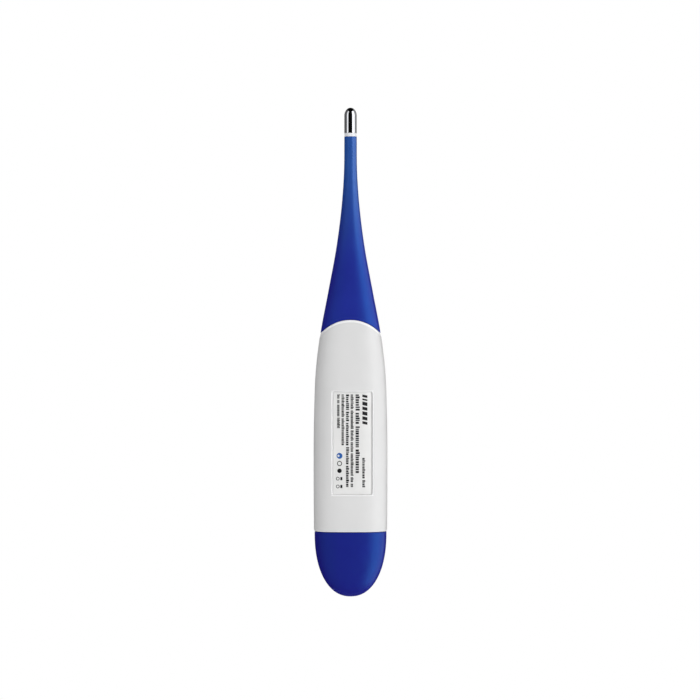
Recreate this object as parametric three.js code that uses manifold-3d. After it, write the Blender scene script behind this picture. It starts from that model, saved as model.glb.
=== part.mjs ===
// Digital clinical thermometer with a flexible probe, lying on its back.
// Millimetres. +X runs to the sensor tip, +Y across the width, +Z out of the display. The origin is at the
// middle of the length and the width, on the surface that the flat back rests on.

import * as THREE from "three";
import { mergeVertices } from "three/addons/utils/BufferGeometryUtils.js";
import Module from "manifold-3d";

const wasm = await Module();
wasm.setup();

// ---- Driving dimensions ----

const LENGTH = 138;
const AXIS_Z = 6; // height of the probe's axis over the flat back
const WALL = 1.4; // moulded housing wall
const COVER_WALL = 1.2;
const FIT = 0.3; // clearance between fitted pieces
const SEAT = 0.05; // clearance under a piece that lies on another

// Probe and housing: [x, half width, half thickness] from the sensor end to the battery end
const OUTLINE = [
  [60.8, 1.75, 1.75],
  [51, 1.85, 1.82],
  [44, 2.27, 2.15],
  [30.5, 3.85, 3.2],
  [16.5, 6.4, 4.65],
  [4.5, 8.65, 5.7],
  [-4, 9.7, 6.08],
  [-18, 10.3, 6.15],
  [-34, 10.42, 6.15],
  [-50.5, 10.33, 6.1],
];
const ROUND_POWER = 2; // section of the slim probe: an ellipse
const FULL_POWER = 2.6; // section of the body: a fuller superellipse
const ROUND_X = 44; // where the section starts to fill out
const FULL_X = 4.5; // where it is full

// Arched joint between the blue probe and the white housing
const ARCH_RADIUS = 11.7;
const ARCH_CENTRE_X = -2.7;

// Sensor end
const CAP_RADIUS = 1.75;
const CAP_WALL = 0.2;
const CAP_NOSE = 2.25; // length of its rounded nose
const CAP_RIM_X = 61.8;
const SPIGOT_RADIUS = 1.3;
const SPIGOT_END_X = 64.5;
const BEAD_RADIUS = 0.75;
const BEAD_X = [66.3, 68.2];
const PROBE_END_X = 60.8;

// The flexible neck bends at two pivots, one for each direction
const BEND_X = 39;
const SWAY_X = 51;
const ROOT_START_X = 2;
const ROOT_BORE = 1.2;
const FLEX_BORE = 1;
const STEM_BORE = 0.8;

// Nose of the housing, which the probe is moulded onto
const NOSE_X = [1, 17];
const NOSE_INSET = [2.6, 2.2];

// Battery end
const HOUSING_REAR_X = -50.5;
const NECK_REAR_X = -56;
const NECK = { halfWidth: 8.6, halfThickness: 4.35 };
const NECK_BORE = { halfWidth: 7.6, halfThickness: 3.4 };
const GROOVE_X = [-53.9, -52.7];
const GROOVE = { halfWidth: 8.05, halfThickness: 3.75 };
const SEAL = { x: -53.3, halfWidth: 8.5, halfThickness: 4.2, radius: 0.35 };

// Battery cover: a superellipse in plan, past a short straight rim
const COVER = { halfWidth: 10.15, halfThickness: 5.9, straightX: -51.1, power: 2.2 };
const COVER_END_GAP = 1.4; // thickness of its closed end
const COVER_MOUTH_X = HOUSING_REAR_X - FIT;

// Cavity for the electronics
const CAVITY_X = [-50.6, 4.5];
const CAVITY_FLOOR_Z = 1.7;

// Rating label and its pocket in the back
const LABEL = { x: [-39.8, -11.4], y: [-4.8, 5.9], thickness: 0.15 };
const POCKET_MARGIN = 0.25;
const POCKET_FLOOR_Z = 0.8;

// Display
const LENS_FORM_X = [-34, 4.5]; // stretch of the outer form that the window follows
const LENS = { x: -14, length: 29, width: 10.5, corner: 2, bottomZ: 10.75, recess: 0.1 };
const LENS_LEDGE_Z = 10.45;
const WINDOW = { length: 26.4, width: 8.2, corner: 1.2 };
const WINDOW_PAD = { length: 32, width: 13.2, bottomZ: 8.9 };
const LCD = { length: 28, frontY: [-5, 5], rearY: [-5, 3.8] };
const LCD_FRONT_Z = [7.95, 8.5];
const LCD_REAR_Z = [7.1, 7.65];
const REFLECTOR_Z = [6.6, 6.8];
const HOLDER = { length: 30.4, width: 12.2, wall: 0.8, topZ: 8.6 };
const ZEBRA = { length: 26, y: [4.1, 4.9] };

// Circuit board and what is on it
const BOARD = { x: [-50, 3], halfWidth: 6, z: [4.4, 5.2] };
const CHIP_BLOB = { x: -12, radius: 3.4, height: 1 };
const CHIP_SIZE = [2, 1.2, 0.6];
const CHIP_PLACES = {
  chip_capacitor_1: [-20, 2.6],
  chip_capacitor_2: [-20, -2.6],
  chip_resistor_1: [-24, 2.6],
  chip_resistor_2: [-24, -2.6],
};
const SOLDER = { x: 2, y: 0.8, radius: 0.5 };

// Power button and its key switch
const BUTTON = { x: -39, halfLength: 5.5, halfWidth: 3.9, proud: 0.35, bottomZ: 9.9 };
const BUTTON_FORM_X = [-46, -32]; // stretch of the outer form that the button follows
const FLANGE = { halfLength: 6.6, halfWidth: 4.9, z: [9.4, 10] };
const STEM = { radius: 1.6, bottomZ: 7.6 };
const SWITCH = { size: 5.2, topZ: 6.6, holeRadius: 1.6, holeFloorZ: 5.5, plateZ: [6.65, 6.85] };
const PLUNGER = { radius: 1.3, z: [6.1, 7.3] };

// Piezo beeper
const BUZZER = { x: -33, discRadius: 4.5, ceramicRadius: 3.2, z: 1.95 };
const BUZZER_DISC_THICKNESS = 0.2;
const BUZZER_CERAMIC_THICKNESS = 0.15;
const BUZZER_WIRE = { y: [1.5, 2.2, 2.6], run: 1.5, rise: 0.8, end: 6, discStart: 3.6, ceramicStart: 1 };

// Button cell, its tray and its contacts
const CELL = { x: -57.5, radius: 3.95, z: [4.65, 8.25], capRadius: 3, capStep: 0.25, capDepth: 0.9 };
const CELL_RECESS_RADIUS = 3.5;
const TRAY = { x: [-61, -50.3], halfWidth: 5, z: [3.4, 8], floorTopZ: 4.05 };
const CONTACT_THICKNESS = 0.2;
const POSITIVE = { x: [-53.4, -48.6], halfWidth: 1.6, channelHalfWidth: 2, topZ: 7.6 };
const NEGATIVE = { x: [-60, -47.6], halfWidth: 1.2, z: [4.15, 4.3], dimpleRadius: 0.8, dimpleTopZ: 4.55 };

// Sensor leads
const LEAD = { radius: 0.18, y: 0.4, startX: 2.7, risenX: 5.7, levelX: 9.7, endX: 66.1 };

const RING_POINTS = 32; // points round a section
const FORM_STEP = 3.5; // spacing of sections along the body
const FINE_STEP = 3; // and along the neck
const BUTTON_STEP = 2.8; // and under the button
const ARC_STEPS = 6; // steps along the quarter arc of the cap's nose
const COVER_STEPS = 11; // sections along the cover's rounded end
const COVER_TIP_SHARE = 0.02; // smallest section of the cover
const OVERLAP = 1; // how far shapes that are joined reach into each other
const FAR = 200; // reaches past the whole object

// ---- Outline functions ----

// Smooth curve through the points [x, value], with the slope at each point taken from its two neighbours.
function curveThrough(points) {
  const secant = (i) => (points[i + 1][1] - points[i][1]) / (points[i + 1][0] - points[i][0]);
  const slope = (i) => {
    if (i === 0) return secant(0);
    if (i === points.length - 1) return secant(i - 1);
    const before = points[i][0] - points[i - 1][0];
    const after = points[i + 1][0] - points[i][0];
    return (secant(i - 1) * after + secant(i) * before) / (before + after);
  };
  return (x) => {
    let i = 0;
    while (i < points.length - 2 && x > points[i + 1][0]) i += 1;
    const run = points[i + 1][0] - points[i][0];
    const t = THREE.MathUtils.clamp((x - points[i][0]) / run, 0, 1);
    const [t2, t3] = [t * t, t * t * t];
    return (
      (2 * t3 - 3 * t2 + 1) * points[i][1] +
      (t3 - 2 * t2 + t) * run * slope(i) +
      (3 * t2 - 2 * t3) * points[i + 1][1] +
      (t3 - t2) * run * slope(i + 1)
    );
  };
}

const ascending = [...OUTLINE].reverse();
const halfWidthAt = curveThrough(ascending.map(([x, width]) => [x, width]));
const halfThicknessAt = curveThrough(ascending.map(([x, , thickness]) => [x, thickness]));
const powerAt = (x) =>
  THREE.MathUtils.lerp(FULL_POWER, ROUND_POWER, THREE.MathUtils.smoothstep(x, FULL_X, ROUND_X));

// Ring of [y, z] points on a superellipse round the probe's axis, cut flat below floorZ
function ring(halfWidth, halfThickness, power, floorZ = 0) {
  const bulge = (value) => Math.sign(value) * Math.abs(value) ** (2 / power);
  return Array.from({ length: RING_POINTS }, (_, i) => {
    const angle = (2 * Math.PI * i) / RING_POINTS;
    const z = AXIS_Z + halfThickness * bulge(Math.round(Math.sin(angle) * 1e9) / 1e9);
    return [halfWidth * bulge(Math.round(Math.cos(angle) * 1e9) / 1e9), Math.max(z, floorZ)];
  });
}

// ---- Solids ----

function solid(geometry) {
  const bare = geometry.clone();
  bare.deleteAttribute("normal");
  bare.deleteAttribute("uv");
  const merged = mergeVertices(bare, 1e-4);
  return new wasm.Manifold(
    new wasm.Mesh({
      numProp: 3,
      vertProperties: new Float32Array(merged.attributes.position.array),
      triVerts: new Uint32Array(merged.index.array),
    }),
  );
}

// Closed solid through rings of [y, z] points, one at each x, with x rising
function loft(stations, ringAt) {
  const rings = stations.map((x) => ringAt(x).map(([y, z]) => [x, y, z]));
  const count = rings[0].length;
  const positions = rings.flat(2);
  const ends = [0, stations.length - 1].map((k) => {
    positions.push(stations[k], 0, AXIS_Z);
    return positions.length / 3 - 1;
  });
  const index = [];
  for (let i = 0; i < count; i += 1) {
    const next = (i + 1) % count;
    for (let k = 0; k < stations.length - 1; k += 1) {
      const [low, high] = [k * count, (k + 1) * count];
      index.push(low + i, low + next, high + next, low + i, high + next, high + i);
    }
    const last = (stations.length - 1) * count;
    index.push(ends[0], next, i, ends[1], last + i, last + next);
  }
  const geometry = new THREE.BufferGeometry();
  geometry.setAttribute("position", new THREE.Float32BufferAttribute(positions, 3));
  geometry.setIndex(index);
  return solid(geometry);
}

const spaced = (from, to, step) => {
  const count = Math.max(1, Math.round((to - from) / step));
  return Array.from({ length: count + 1 }, (_, i) => from + ((to - from) * i) / count);
};

// The thermometer's outer form between two stations, drawn in by an inset on each side
function form(from, to, step, insetWidth = 0, insetThickness = insetWidth, floorZ = 0) {
  return loft(spaced(from, to, step), (x) =>
    ring(halfWidthAt(x) - insetWidth, halfThicknessAt(x) - insetThickness, powerAt(x), floorZ),
  );
}

const straight = (from, to, size) =>
  loft([from, to], () => ring(size.halfWidth, size.halfThickness, FULL_POWER));

function box([x0, x1], [y0, y1], [z0, z1]) {
  const geometry = new THREE.BoxGeometry(x1 - x0, y1 - y0, z1 - z0);
  return solid(geometry.translate((x0 + x1) / 2, (y0 + y1) / 2, (z0 + z1) / 2));
}

function cylinderX(radius, [x0, x1], segments = 24) {
  const geometry = new THREE.CylinderGeometry(radius, radius, x1 - x0, segments);
  return solid(geometry.rotateZ(-Math.PI / 2).translate((x0 + x1) / 2, 0, AXIS_Z));
}

function cylinderZ(radius, x, y, [z0, z1], segments = 32) {
  const geometry = new THREE.CylinderGeometry(radius, radius, z1 - z0, segments);
  return solid(geometry.rotateX(Math.PI / 2).translate(x, y, (z0 + z1) / 2));
}

const ball = (radius, x) => solid(new THREE.SphereGeometry(radius, 24, 14).translate(x, 0, AXIS_Z));

// Upright plate of a plan outline centred at x
function plate(outline, x, [z0, z1], curveSegments = 8) {
  const settings = { depth: z1 - z0, bevelEnabled: false, curveSegments };
  return solid(new THREE.ExtrudeGeometry(outline, settings).translate(x, 0, z0));
}

function roundedRectangle(length, width, corner) {
  const [right, top] = [length / 2 - corner, width / 2 - corner];
  return new THREE.Shape()
    .absarc(right, top, corner, 0, Math.PI / 2, false)
    .absarc(-right, top, corner, Math.PI / 2, Math.PI, false)
    .absarc(-right, -top, corner, Math.PI, 1.5 * Math.PI, false)
    .absarc(right, -top, corner, 1.5 * Math.PI, 2 * Math.PI, false);
}

const oval = (halfLength, halfWidth) =>
  new THREE.Shape().absellipse(0, 0, halfLength, halfWidth, 0, 2 * Math.PI, false, 0);

// Solid of revolution about the probe's axis; the profile holds [radius, x] points
function turned(profile, segments = 24) {
  const points = profile.map(([radius, x]) => new THREE.Vector2(radius, x));
  return solid(new THREE.LatheGeometry(points, segments).rotateZ(-Math.PI / 2).translate(0, 0, AXIS_Z));
}

// Round wire along a smooth curve through points
function wire(radius, points, steps) {
  const path = new THREE.CatmullRomCurve3(points.map((point) => new THREE.Vector3(...point)));
  const section = new THREE.Shape().absarc(0, 0, radius, 0, 2 * Math.PI, false);
  const settings = { extrudePath: path, steps, curveSegments: 4, bevelEnabled: false };
  return solid(new THREE.ExtrudeGeometry(section, settings));
}

// ---- Materials ----

const finish = (color, roughness, metalness = 0, extra = {}) =>
  new THREE.MeshStandardMaterial({ color, roughness, metalness, ...extra });

const MATERIALS = {
  whiteShell: finish(0xe8e8e8, 0.35),
  blueRubber: finish(0x1f2f9c, 0.55),
  blueCover: finish(0x1f2f96, 0.45),
  steel: finish(0xc9ccd0, 0.12, 1),
  adhesive: finish(0xe9ebee, 0.4),
  label: finish(0xf0f0ee, 0.5),
  clear: finish(0xdfe8ea, 0.08, 0, { transparent: true, opacity: 0.35 }),
  lcdGlass: finish(0xb9c2b4, 0.1),
  reflector: finish(0xa8aca6, 0.4, 0.6),
  holder: finish(0xd8d6cf, 0.5),
  zebra: finish(0x6d5a5e, 0.8),
  board: finish(0x1f6a3c, 0.5),
  resin: finish(0x151515, 0.35),
  ceramicPart: finish(0xa08a68, 0.5),
  solder: finish(0xbfc3c6, 0.25, 1),
  switchBody: finish(0x26272a, 0.5),
  brass: finish(0xc8a04e, 0.3, 1),
  piezo: finish(0xddd6c4, 0.5),
  tray: finish(0xd9dadb, 0.5),
  contact: finish(0xb9b7ae, 0.3, 1),
  gasket: finish(0x2b3a44, 0.6),
  sealRubber: finish(0x2a2c30, 0.8),
  insulation: finish(0xb32222, 0.5),
  insulationDark: finish(0x1c1c1e, 0.5),
  glassBead: finish(0x3a2a22, 0.2),
};

function piece(name, body, material) {
  const { vertProperties, triVerts } = body.getMesh();
  const geometry = new THREE.BufferGeometry();
  geometry.setAttribute("position", new THREE.Float32BufferAttribute(vertProperties, 3));
  geometry.setIndex(new THREE.Uint32BufferAttribute(triVerts, 1));
  geometry.computeVertexNormals();
  const mesh = new THREE.Mesh(geometry, material);
  mesh.name = name;
  return mesh;
}

// ---- Housing ----

// Everything behind the arch, with the arch grown by a clearance
const behindArch = (clearance = 0) =>
  cylinderZ(ARCH_RADIUS + clearance, ARCH_CENTRE_X, 0, [-1, 2 * AXIS_Z + 1], 96).add(
    box([-FAR, ARCH_CENTRE_X], [-FAR, FAR], [-FAR, FAR]),
  );

const nose = (clearance) =>
  form(NOSE_X[0], NOSE_X[1] + clearance, 4, NOSE_INSET[0] - clearance, NOSE_INSET[1] - clearance);

function housingShell() {
  const archTipX = ARCH_CENTRE_X + ARCH_RADIUS;
  const outer = form(HOUSING_REAR_X, archTipX + 1, 4);
  const neck = straight(NECK_REAR_X, HOUSING_REAR_X + WALL, NECK);
  const groove = box(GROOVE_X, [-FAR, FAR], [-FAR, FAR]).subtract(straight(...GROOVE_X, GROOVE));
  const cavity = form(...CAVITY_X, 5, WALL, WALL, CAVITY_FLOOR_Z);
  const pad = box(
    [LENS.x - WINDOW_PAD.length / 2, LENS.x + WINDOW_PAD.length / 2],
    [-WINDOW_PAD.width / 2, WINDOW_PAD.width / 2],
    [WINDOW_PAD.bottomZ, FAR],
  ).intersect(outer);
  const lensSeat = plate(
    roundedRectangle(LENS.length + 2 * FIT, LENS.width + 2 * FIT, LENS.corner + FIT),
    LENS.x,
    [LENS_LEDGE_Z, FAR],
  );
  const window = plate(roundedRectangle(WINDOW.length, WINDOW.width, WINDOW.corner), LENS.x, [AXIS_Z, FAR]);
  const buttonHole = plate(oval(BUTTON.halfLength + FIT, BUTTON.halfWidth + FIT), BUTTON.x, [AXIS_Z, FAR]);
  const pocket = box(
    [LABEL.x[0] - POCKET_MARGIN, LABEL.x[1] + POCKET_MARGIN],
    [LABEL.y[0] - POCKET_MARGIN, LABEL.y[1] + POCKET_MARGIN],
    [-FAR, POCKET_FLOOR_Z],
  );
  return outer
    .intersect(behindArch())
    .add(nose(0))
    .add(neck.subtract(groove))
    .subtract(cavity)
    .subtract(straight(NECK_REAR_X - 1, HOUSING_REAR_X + WALL, NECK_BORE))
    .subtract(cylinderX(ROOT_BORE, [0, NOSE_X[1] + 1]))
    .add(pad)
    .subtract(lensSeat)
    .subtract(window)
    .subtract(buttonHole)
    .subtract(pocket);
}

function ratingLabel() {
  const top = POCKET_FLOOR_Z - SEAT;
  return box(LABEL.x, LABEL.y, [top - LABEL.thickness, top]);
}

// Rubber ring in the groove of the neck, round in section, laid along the neck's outline
function sealingRing() {
  const sides = 8;
  const path = ring(SEAL.halfWidth, SEAL.halfThickness, FULL_POWER);
  const positions = path.flatMap(([y, z], i) => {
    const before = path[(i + path.length - 1) % path.length];
    const after = path[(i + 1) % path.length];
    const outward = new THREE.Vector2(after[1] - before[1], before[0] - after[0]).normalize();
    return Array.from({ length: sides }, (_, j) => {
      const angle = (2 * Math.PI * j) / sides;
      const out = SEAL.radius * Math.cos(angle);
      return [SEAL.x + SEAL.radius * Math.sin(angle), y + out * outward.x, z + out * outward.y];
    });
  });
  const index = path.flatMap((_, i) =>
    Array.from({ length: sides }, (_, j) => {
      const [here, there] = [i * sides, ((i + 1) % path.length) * sides];
      const next = (j + 1) % sides;
      return [here + j, there + j, there + next, here + j, there + next, here + next];
    }),
  );
  const geometry = new THREE.BufferGeometry();
  geometry.setAttribute("position", new THREE.Float32BufferAttribute(positions.flat(), 3));
  geometry.setIndex(index.flat());
  return solid(geometry);
}

// ---- Flexible probe ----

// Radius of the ball that fills the neck's width at a pivot
const pivotRadius = (x) => Math.max(halfWidthAt(x), halfThicknessAt(x));

// Rounds a stretch of the neck off at its far pivot
const roundedAt = (body, x) =>
  body.intersect(box([-FAR, x], [-FAR, FAR], [-FAR, FAR]).add(ball(pivotRadius(x), x)));

// Hollows the next stretch so that it turns round the ball
const socketAt = (body, x) => body.subtract(ball(pivotRadius(x) + FIT, x));

function probeRoot() {
  const stretch = form(ROOT_START_X, BEND_X + pivotRadius(BEND_X), FORM_STEP)
    .subtract(behindArch(FIT))
    .subtract(nose(FIT))
    .subtract(cylinderX(ROOT_BORE, [0, FAR]));
  return roundedAt(stretch, BEND_X);
}

function probeFlex() {
  const stretch = form(BEND_X, SWAY_X + pivotRadius(SWAY_X), FINE_STEP).subtract(
    cylinderX(FLEX_BORE, [0, FAR]),
  );
  return roundedAt(socketAt(stretch, BEND_X), SWAY_X);
}

function probeStem() {
  return form(SWAY_X, PROBE_END_X, FINE_STEP)
    .add(cylinderX(SPIGOT_RADIUS, [PROBE_END_X - OVERLAP, SPIGOT_END_X]))
    .subtract(cylinderX(STEM_BORE, [0, FAR], 16))
    .subtract(ball(pivotRadius(SWAY_X) + FIT, SWAY_X));
}

// ---- Sensor ----

function probeCap() {
  const centreX = LENGTH / 2 - CAP_NOSE;
  const arc = (radius, length) =>
    Array.from({ length: ARC_STEPS + 1 }, (_, i) => {
      const angle = (Math.PI / 2) * (1 - i / ARC_STEPS);
      return [i === 0 ? 0 : radius * Math.cos(angle), centreX + length * Math.sin(angle)];
    });
  const innerRadius = CAP_RADIUS - CAP_WALL;
  const outside = [...arc(CAP_RADIUS, CAP_NOSE), [CAP_RADIUS, CAP_RIM_X]];
  const inside = [...arc(innerRadius, CAP_NOSE - CAP_WALL), [innerRadius, CAP_RIM_X]];
  return turned([...inside, ...outside.reverse()]);
}

const adhesiveRing = () =>
  turned([
    [SPIGOT_RADIUS + 2 * SEAT, PROBE_END_X + SEAT],
    [CAP_RADIUS - SEAT, PROBE_END_X + SEAT],
    [CAP_RADIUS - SEAT, CAP_RIM_X - SEAT],
    [SPIGOT_RADIUS + 2 * SEAT, CAP_RIM_X - SEAT],
    [SPIGOT_RADIUS + 2 * SEAT, PROBE_END_X + SEAT],
  ]);

function thermistorBead() {
  const [from, to] = BEAD_X;
  const geometry = new THREE.CapsuleGeometry(BEAD_RADIUS, to - from - 2 * BEAD_RADIUS, 6, 16);
  return solid(geometry.rotateZ(-Math.PI / 2).translate((from + to) / 2, 0, AXIS_Z));
}

const leadWire = (side) =>
  wire(
    LEAD.radius,
    [
      [LEAD.startX, side * SOLDER.y, BOARD.z[1] + 2 * LEAD.radius],
      [LEAD.risenX, side * LEAD.y, AXIS_Z - LEAD.radius],
      [LEAD.levelX, side * LEAD.y, AXIS_Z],
      [BEND_X, side * LEAD.y, AXIS_Z],
      [SWAY_X, side * LEAD.y, AXIS_Z],
      [LEAD.endX, side * LEAD.y, AXIS_Z],
    ],
    28,
  );

// ---- Display ----

const displayLens = () =>
  plate(roundedRectangle(LENS.length, LENS.width, LENS.corner), LENS.x, [LENS.bottomZ, FAR]).intersect(
    form(...LENS_FORM_X, FORM_STEP, LENS.recess),
  );

const acrossDisplay = (length, y, z) => box([LENS.x - length / 2, LENS.x + length / 2], y, z);

function lcdHolder() {
  const { length, width, wall, topZ } = HOLDER;
  const bottomZ = BOARD.z[1] + SEAT;
  return acrossDisplay(length, [-width / 2, width / 2], [bottomZ, topZ]).subtract(
    acrossDisplay(length - 2 * wall, [-width / 2 + wall, width / 2 - wall], [0, FAR]),
  );
}

// ---- Board ----

function chipBlob() {
  const { radius, height } = CHIP_BLOB;
  const dome = new THREE.SphereGeometry(1, 24, 12).scale(radius, radius, height);
  const top = BOARD.z[0] - SEAT;
  return solid(dome.translate(CHIP_BLOB.x, 0, top)).intersect(box([-FAR, FAR], [-FAR, FAR], [-FAR, top]));
}

function chipPart([x, y]) {
  const [length, width, height] = CHIP_SIZE;
  const top = BOARD.z[0] - SEAT;
  return box([x - length / 2, x + length / 2], [y - width / 2, y + width / 2], [top - height, top]);
}

function solderJoint(side) {
  const bottom = BOARD.z[1] + SEAT;
  const ball = new THREE.SphereGeometry(SOLDER.radius, 16, 10);
  return solid(ball.translate(SOLDER.x, side * SOLDER.y, bottom)).intersect(
    box([-FAR, FAR], [-FAR, FAR], [bottom, FAR]),
  );
}

// ---- Button and switch ----

function powerButton() {
  const cap = plate(oval(BUTTON.halfLength, BUTTON.halfWidth), BUTTON.x, [BUTTON.bottomZ, FAR], 20);
  return cap
    .intersect(form(...BUTTON_FORM_X, BUTTON_STEP, -BUTTON.proud))
    .add(plate(oval(FLANGE.halfLength, FLANGE.halfWidth), BUTTON.x, FLANGE.z, 20))
    .add(cylinderZ(STEM.radius, BUTTON.x, 0, [STEM.bottomZ, FLANGE.z[1]]));
}

const squareAtSwitch = (z) =>
  box([BUTTON.x - SWITCH.size / 2, BUTTON.x + SWITCH.size / 2], [-SWITCH.size / 2, SWITCH.size / 2], z);

const switchHole = (z) => cylinderZ(SWITCH.holeRadius, BUTTON.x, 0, z);

const switchBase = () =>
  squareAtSwitch([BOARD.z[1] + SEAT, SWITCH.topZ]).subtract(switchHole([SWITCH.holeFloorZ, FAR]));

const switchCoverPlate = () => squareAtSwitch(SWITCH.plateZ).subtract(switchHole([0, FAR]));

// ---- Beeper ----

const buzzerDisc = () =>
  cylinderZ(BUZZER.discRadius, BUZZER.x, 0, [BUZZER.z, BUZZER.z + BUZZER_DISC_THICKNESS]);

const buzzerTopZ = BUZZER.z + BUZZER_DISC_THICKNESS + SEAT + BUZZER_CERAMIC_THICKNESS;

const buzzerCeramic = () =>
  cylinderZ(BUZZER.ceramicRadius, BUZZER.x, 0, [buzzerTopZ - BUZZER_CERAMIC_THICKNESS, buzzerTopZ]);

// From the beeper up to the underside of the board
const buzzerWire = (fromX, side, bottomZ) =>
  wire(
    LEAD.radius,
    [
      [fromX, side * BUZZER_WIRE.y[0], bottomZ + LEAD.radius],
      [fromX + BUZZER_WIRE.run, side * BUZZER_WIRE.y[1], bottomZ + BUZZER_WIRE.rise],
      [BUZZER.x + BUZZER_WIRE.end, side * BUZZER_WIRE.y[2], BOARD.z[0] - 2 * LEAD.radius],
    ],
    8,
  );

// ---- Battery ----

function cellCan() {
  const bottom = CELL.z[0] + CELL.capStep;
  return cylinderZ(CELL.radius, CELL.x, 0, [bottom, CELL.z[1]]).subtract(
    cylinderZ(CELL_RECESS_RADIUS, CELL.x, 0, [0, CELL.z[0] + CELL.capDepth + SEAT]),
  );
}

function cellGasket() {
  const z = [CELL.z[0] + CELL.capStep - SEAT, CELL.z[0] + CELL.capDepth];
  return cylinderZ(CELL_RECESS_RADIUS - SEAT, CELL.x, 0, z).subtract(
    cylinderZ(CELL.capRadius + SEAT, CELL.x, 0, [0, FAR]),
  );
}

const cellCap = () => cylinderZ(CELL.capRadius, CELL.x, 0, [CELL.z[0], CELL.z[0] + CELL.capDepth]);

// Open at its end, so that the cell slides out; channels hold the two contacts
function batteryTray() {
  const pocketRadius = CELL.radius + FIT;
  const positiveChannel = box(
    [POSITIVE.x[0] - FIT, FAR],
    [-POSITIVE.channelHalfWidth, POSITIVE.channelHalfWidth],
    [BOARD.z[1] - CONTACT_THICKNESS, FAR],
  );
  const negativeChannel = box(
    [NEGATIVE.x[0] - FIT, FAR],
    [-NEGATIVE.halfWidth - FIT, NEGATIVE.halfWidth + FIT],
    [NEGATIVE.z[0] - 2 * SEAT, NEGATIVE.z[1] + SEAT],
  );
  return box(TRAY.x, [-TRAY.halfWidth, TRAY.halfWidth], TRAY.z)
    .subtract(cylinderZ(pocketRadius, CELL.x, 0, [TRAY.floorTopZ, FAR]))
    .subtract(box([-FAR, CELL.x], [-pocketRadius, pocketRadius], [TRAY.floorTopZ, FAR]))
    .subtract(positiveChannel)
    .subtract(negativeChannel);
}

function positiveContact() {
  const bottom = BOARD.z[1] + SEAT;
  const y = [-POSITIVE.halfWidth, POSITIVE.halfWidth];
  const upright = box([POSITIVE.x[0], POSITIVE.x[0] + CONTACT_THICKNESS], y, [bottom, POSITIVE.topZ]);
  return upright.add(box(POSITIVE.x, y, [bottom, bottom + CONTACT_THICKNESS]));
}

function negativeContact() {
  const leaf = box(NEGATIVE.x, [-NEGATIVE.halfWidth, NEGATIVE.halfWidth], NEGATIVE.z);
  return leaf.add(cylinderZ(NEGATIVE.dimpleRadius, CELL.x, 0, [NEGATIVE.z[0], NEGATIVE.dimpleTopZ], 16));
}

// Rounded cap: each section shrinks along a superellipse to the tail
function coverForm(inset, endGap, from) {
  const endX = -LENGTH / 2 + endGap;
  const run = COVER.straightX - endX;
  const share = (x) => {
    const along = THREE.MathUtils.clamp((COVER.straightX - x) / run, 0, 1);
    return (1 - along ** COVER.power) ** (1 / COVER.power);
  };
  const angle = (i) => (Math.PI / 2) * (i / COVER_STEPS);
  const curved = Array.from({ length: COVER_STEPS }, (_, i) => COVER.straightX - run * Math.cos(angle(i)));
  return loft([...curved, from], (x) => {
    const size = Math.max(share(x), COVER_TIP_SHARE);
    return ring((COVER.halfWidth - inset) * size, (COVER.halfThickness - inset) * size, FULL_POWER);
  });
}

const batteryCover = () =>
  coverForm(0, 0, COVER_MOUTH_X).subtract(coverForm(COVER_WALL, COVER_END_GAP, COVER_MOUTH_X + OVERLAP));

// ---- Assembly ----

function body(...pieces) {
  const group = new THREE.Group();
  group.add(...pieces);
  return group;
}

const handle = body(
  piece("housing_shell", housingShell(), MATERIALS.whiteShell),
  piece("rating_label", ratingLabel(), MATERIALS.label),
  piece("sealing_ring", sealingRing(), MATERIALS.sealRubber),
  piece("probe_root", probeRoot(), MATERIALS.blueRubber),
  piece("display_lens", displayLens(), MATERIALS.clear),
  piece("lcd_front_glass", acrossDisplay(LCD.length, LCD.frontY, LCD_FRONT_Z), MATERIALS.lcdGlass),
  piece("lcd_rear_glass", acrossDisplay(LCD.length, LCD.rearY, LCD_REAR_Z), MATERIALS.lcdGlass),
  piece("lcd_reflector", acrossDisplay(LCD.length, LCD.rearY, REFLECTOR_Z), MATERIALS.reflector),
  piece("lcd_holder", lcdHolder(), MATERIALS.holder),
  piece(
    "zebra_strip",
    acrossDisplay(ZEBRA.length, ZEBRA.y, [BOARD.z[1] + SEAT, LCD_FRONT_Z[0] - SEAT]),
    MATERIALS.zebra,
  ),
  piece("circuit_board", box(BOARD.x, [-BOARD.halfWidth, BOARD.halfWidth], BOARD.z), MATERIALS.board),
  piece("chip_blob", chipBlob(), MATERIALS.resin),
  ...Object.entries(CHIP_PLACES).map(([name, place]) =>
    piece(name, chipPart(place), name.includes("resistor") ? MATERIALS.resin : MATERIALS.ceramicPart),
  ),
  piece("solder_joint_a", solderJoint(1), MATERIALS.solder),
  piece("solder_joint_b", solderJoint(-1), MATERIALS.solder),
  piece("switch_base", switchBase(), MATERIALS.switchBody),
  piece("switch_cover_plate", switchCoverPlate(), MATERIALS.contact),
  piece("buzzer_disc", buzzerDisc(), MATERIALS.brass),
  piece("buzzer_ceramic", buzzerCeramic(), MATERIALS.piezo),
  piece(
    "buzzer_wire_a",
    buzzerWire(BUZZER.x + BUZZER_WIRE.ceramicStart, 1, buzzerTopZ + SEAT),
    MATERIALS.insulation,
  ),
  piece(
    "buzzer_wire_b",
    buzzerWire(BUZZER.x + BUZZER_WIRE.discStart, -1, BUZZER.z + BUZZER_DISC_THICKNESS + SEAT),
    MATERIALS.insulationDark,
  ),
  piece("battery_tray", batteryTray(), MATERIALS.tray),
  piece("positive_contact", positiveContact(), MATERIALS.contact),
  piece("negative_contact", negativeContact(), MATERIALS.contact),
);

const flexLink = body(
  piece("probe_flex", probeFlex(), MATERIALS.blueRubber),
  piece("lead_wire_a", leadWire(1), MATERIALS.insulation),
  piece("lead_wire_b", leadWire(-1), MATERIALS.insulationDark),
);

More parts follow.
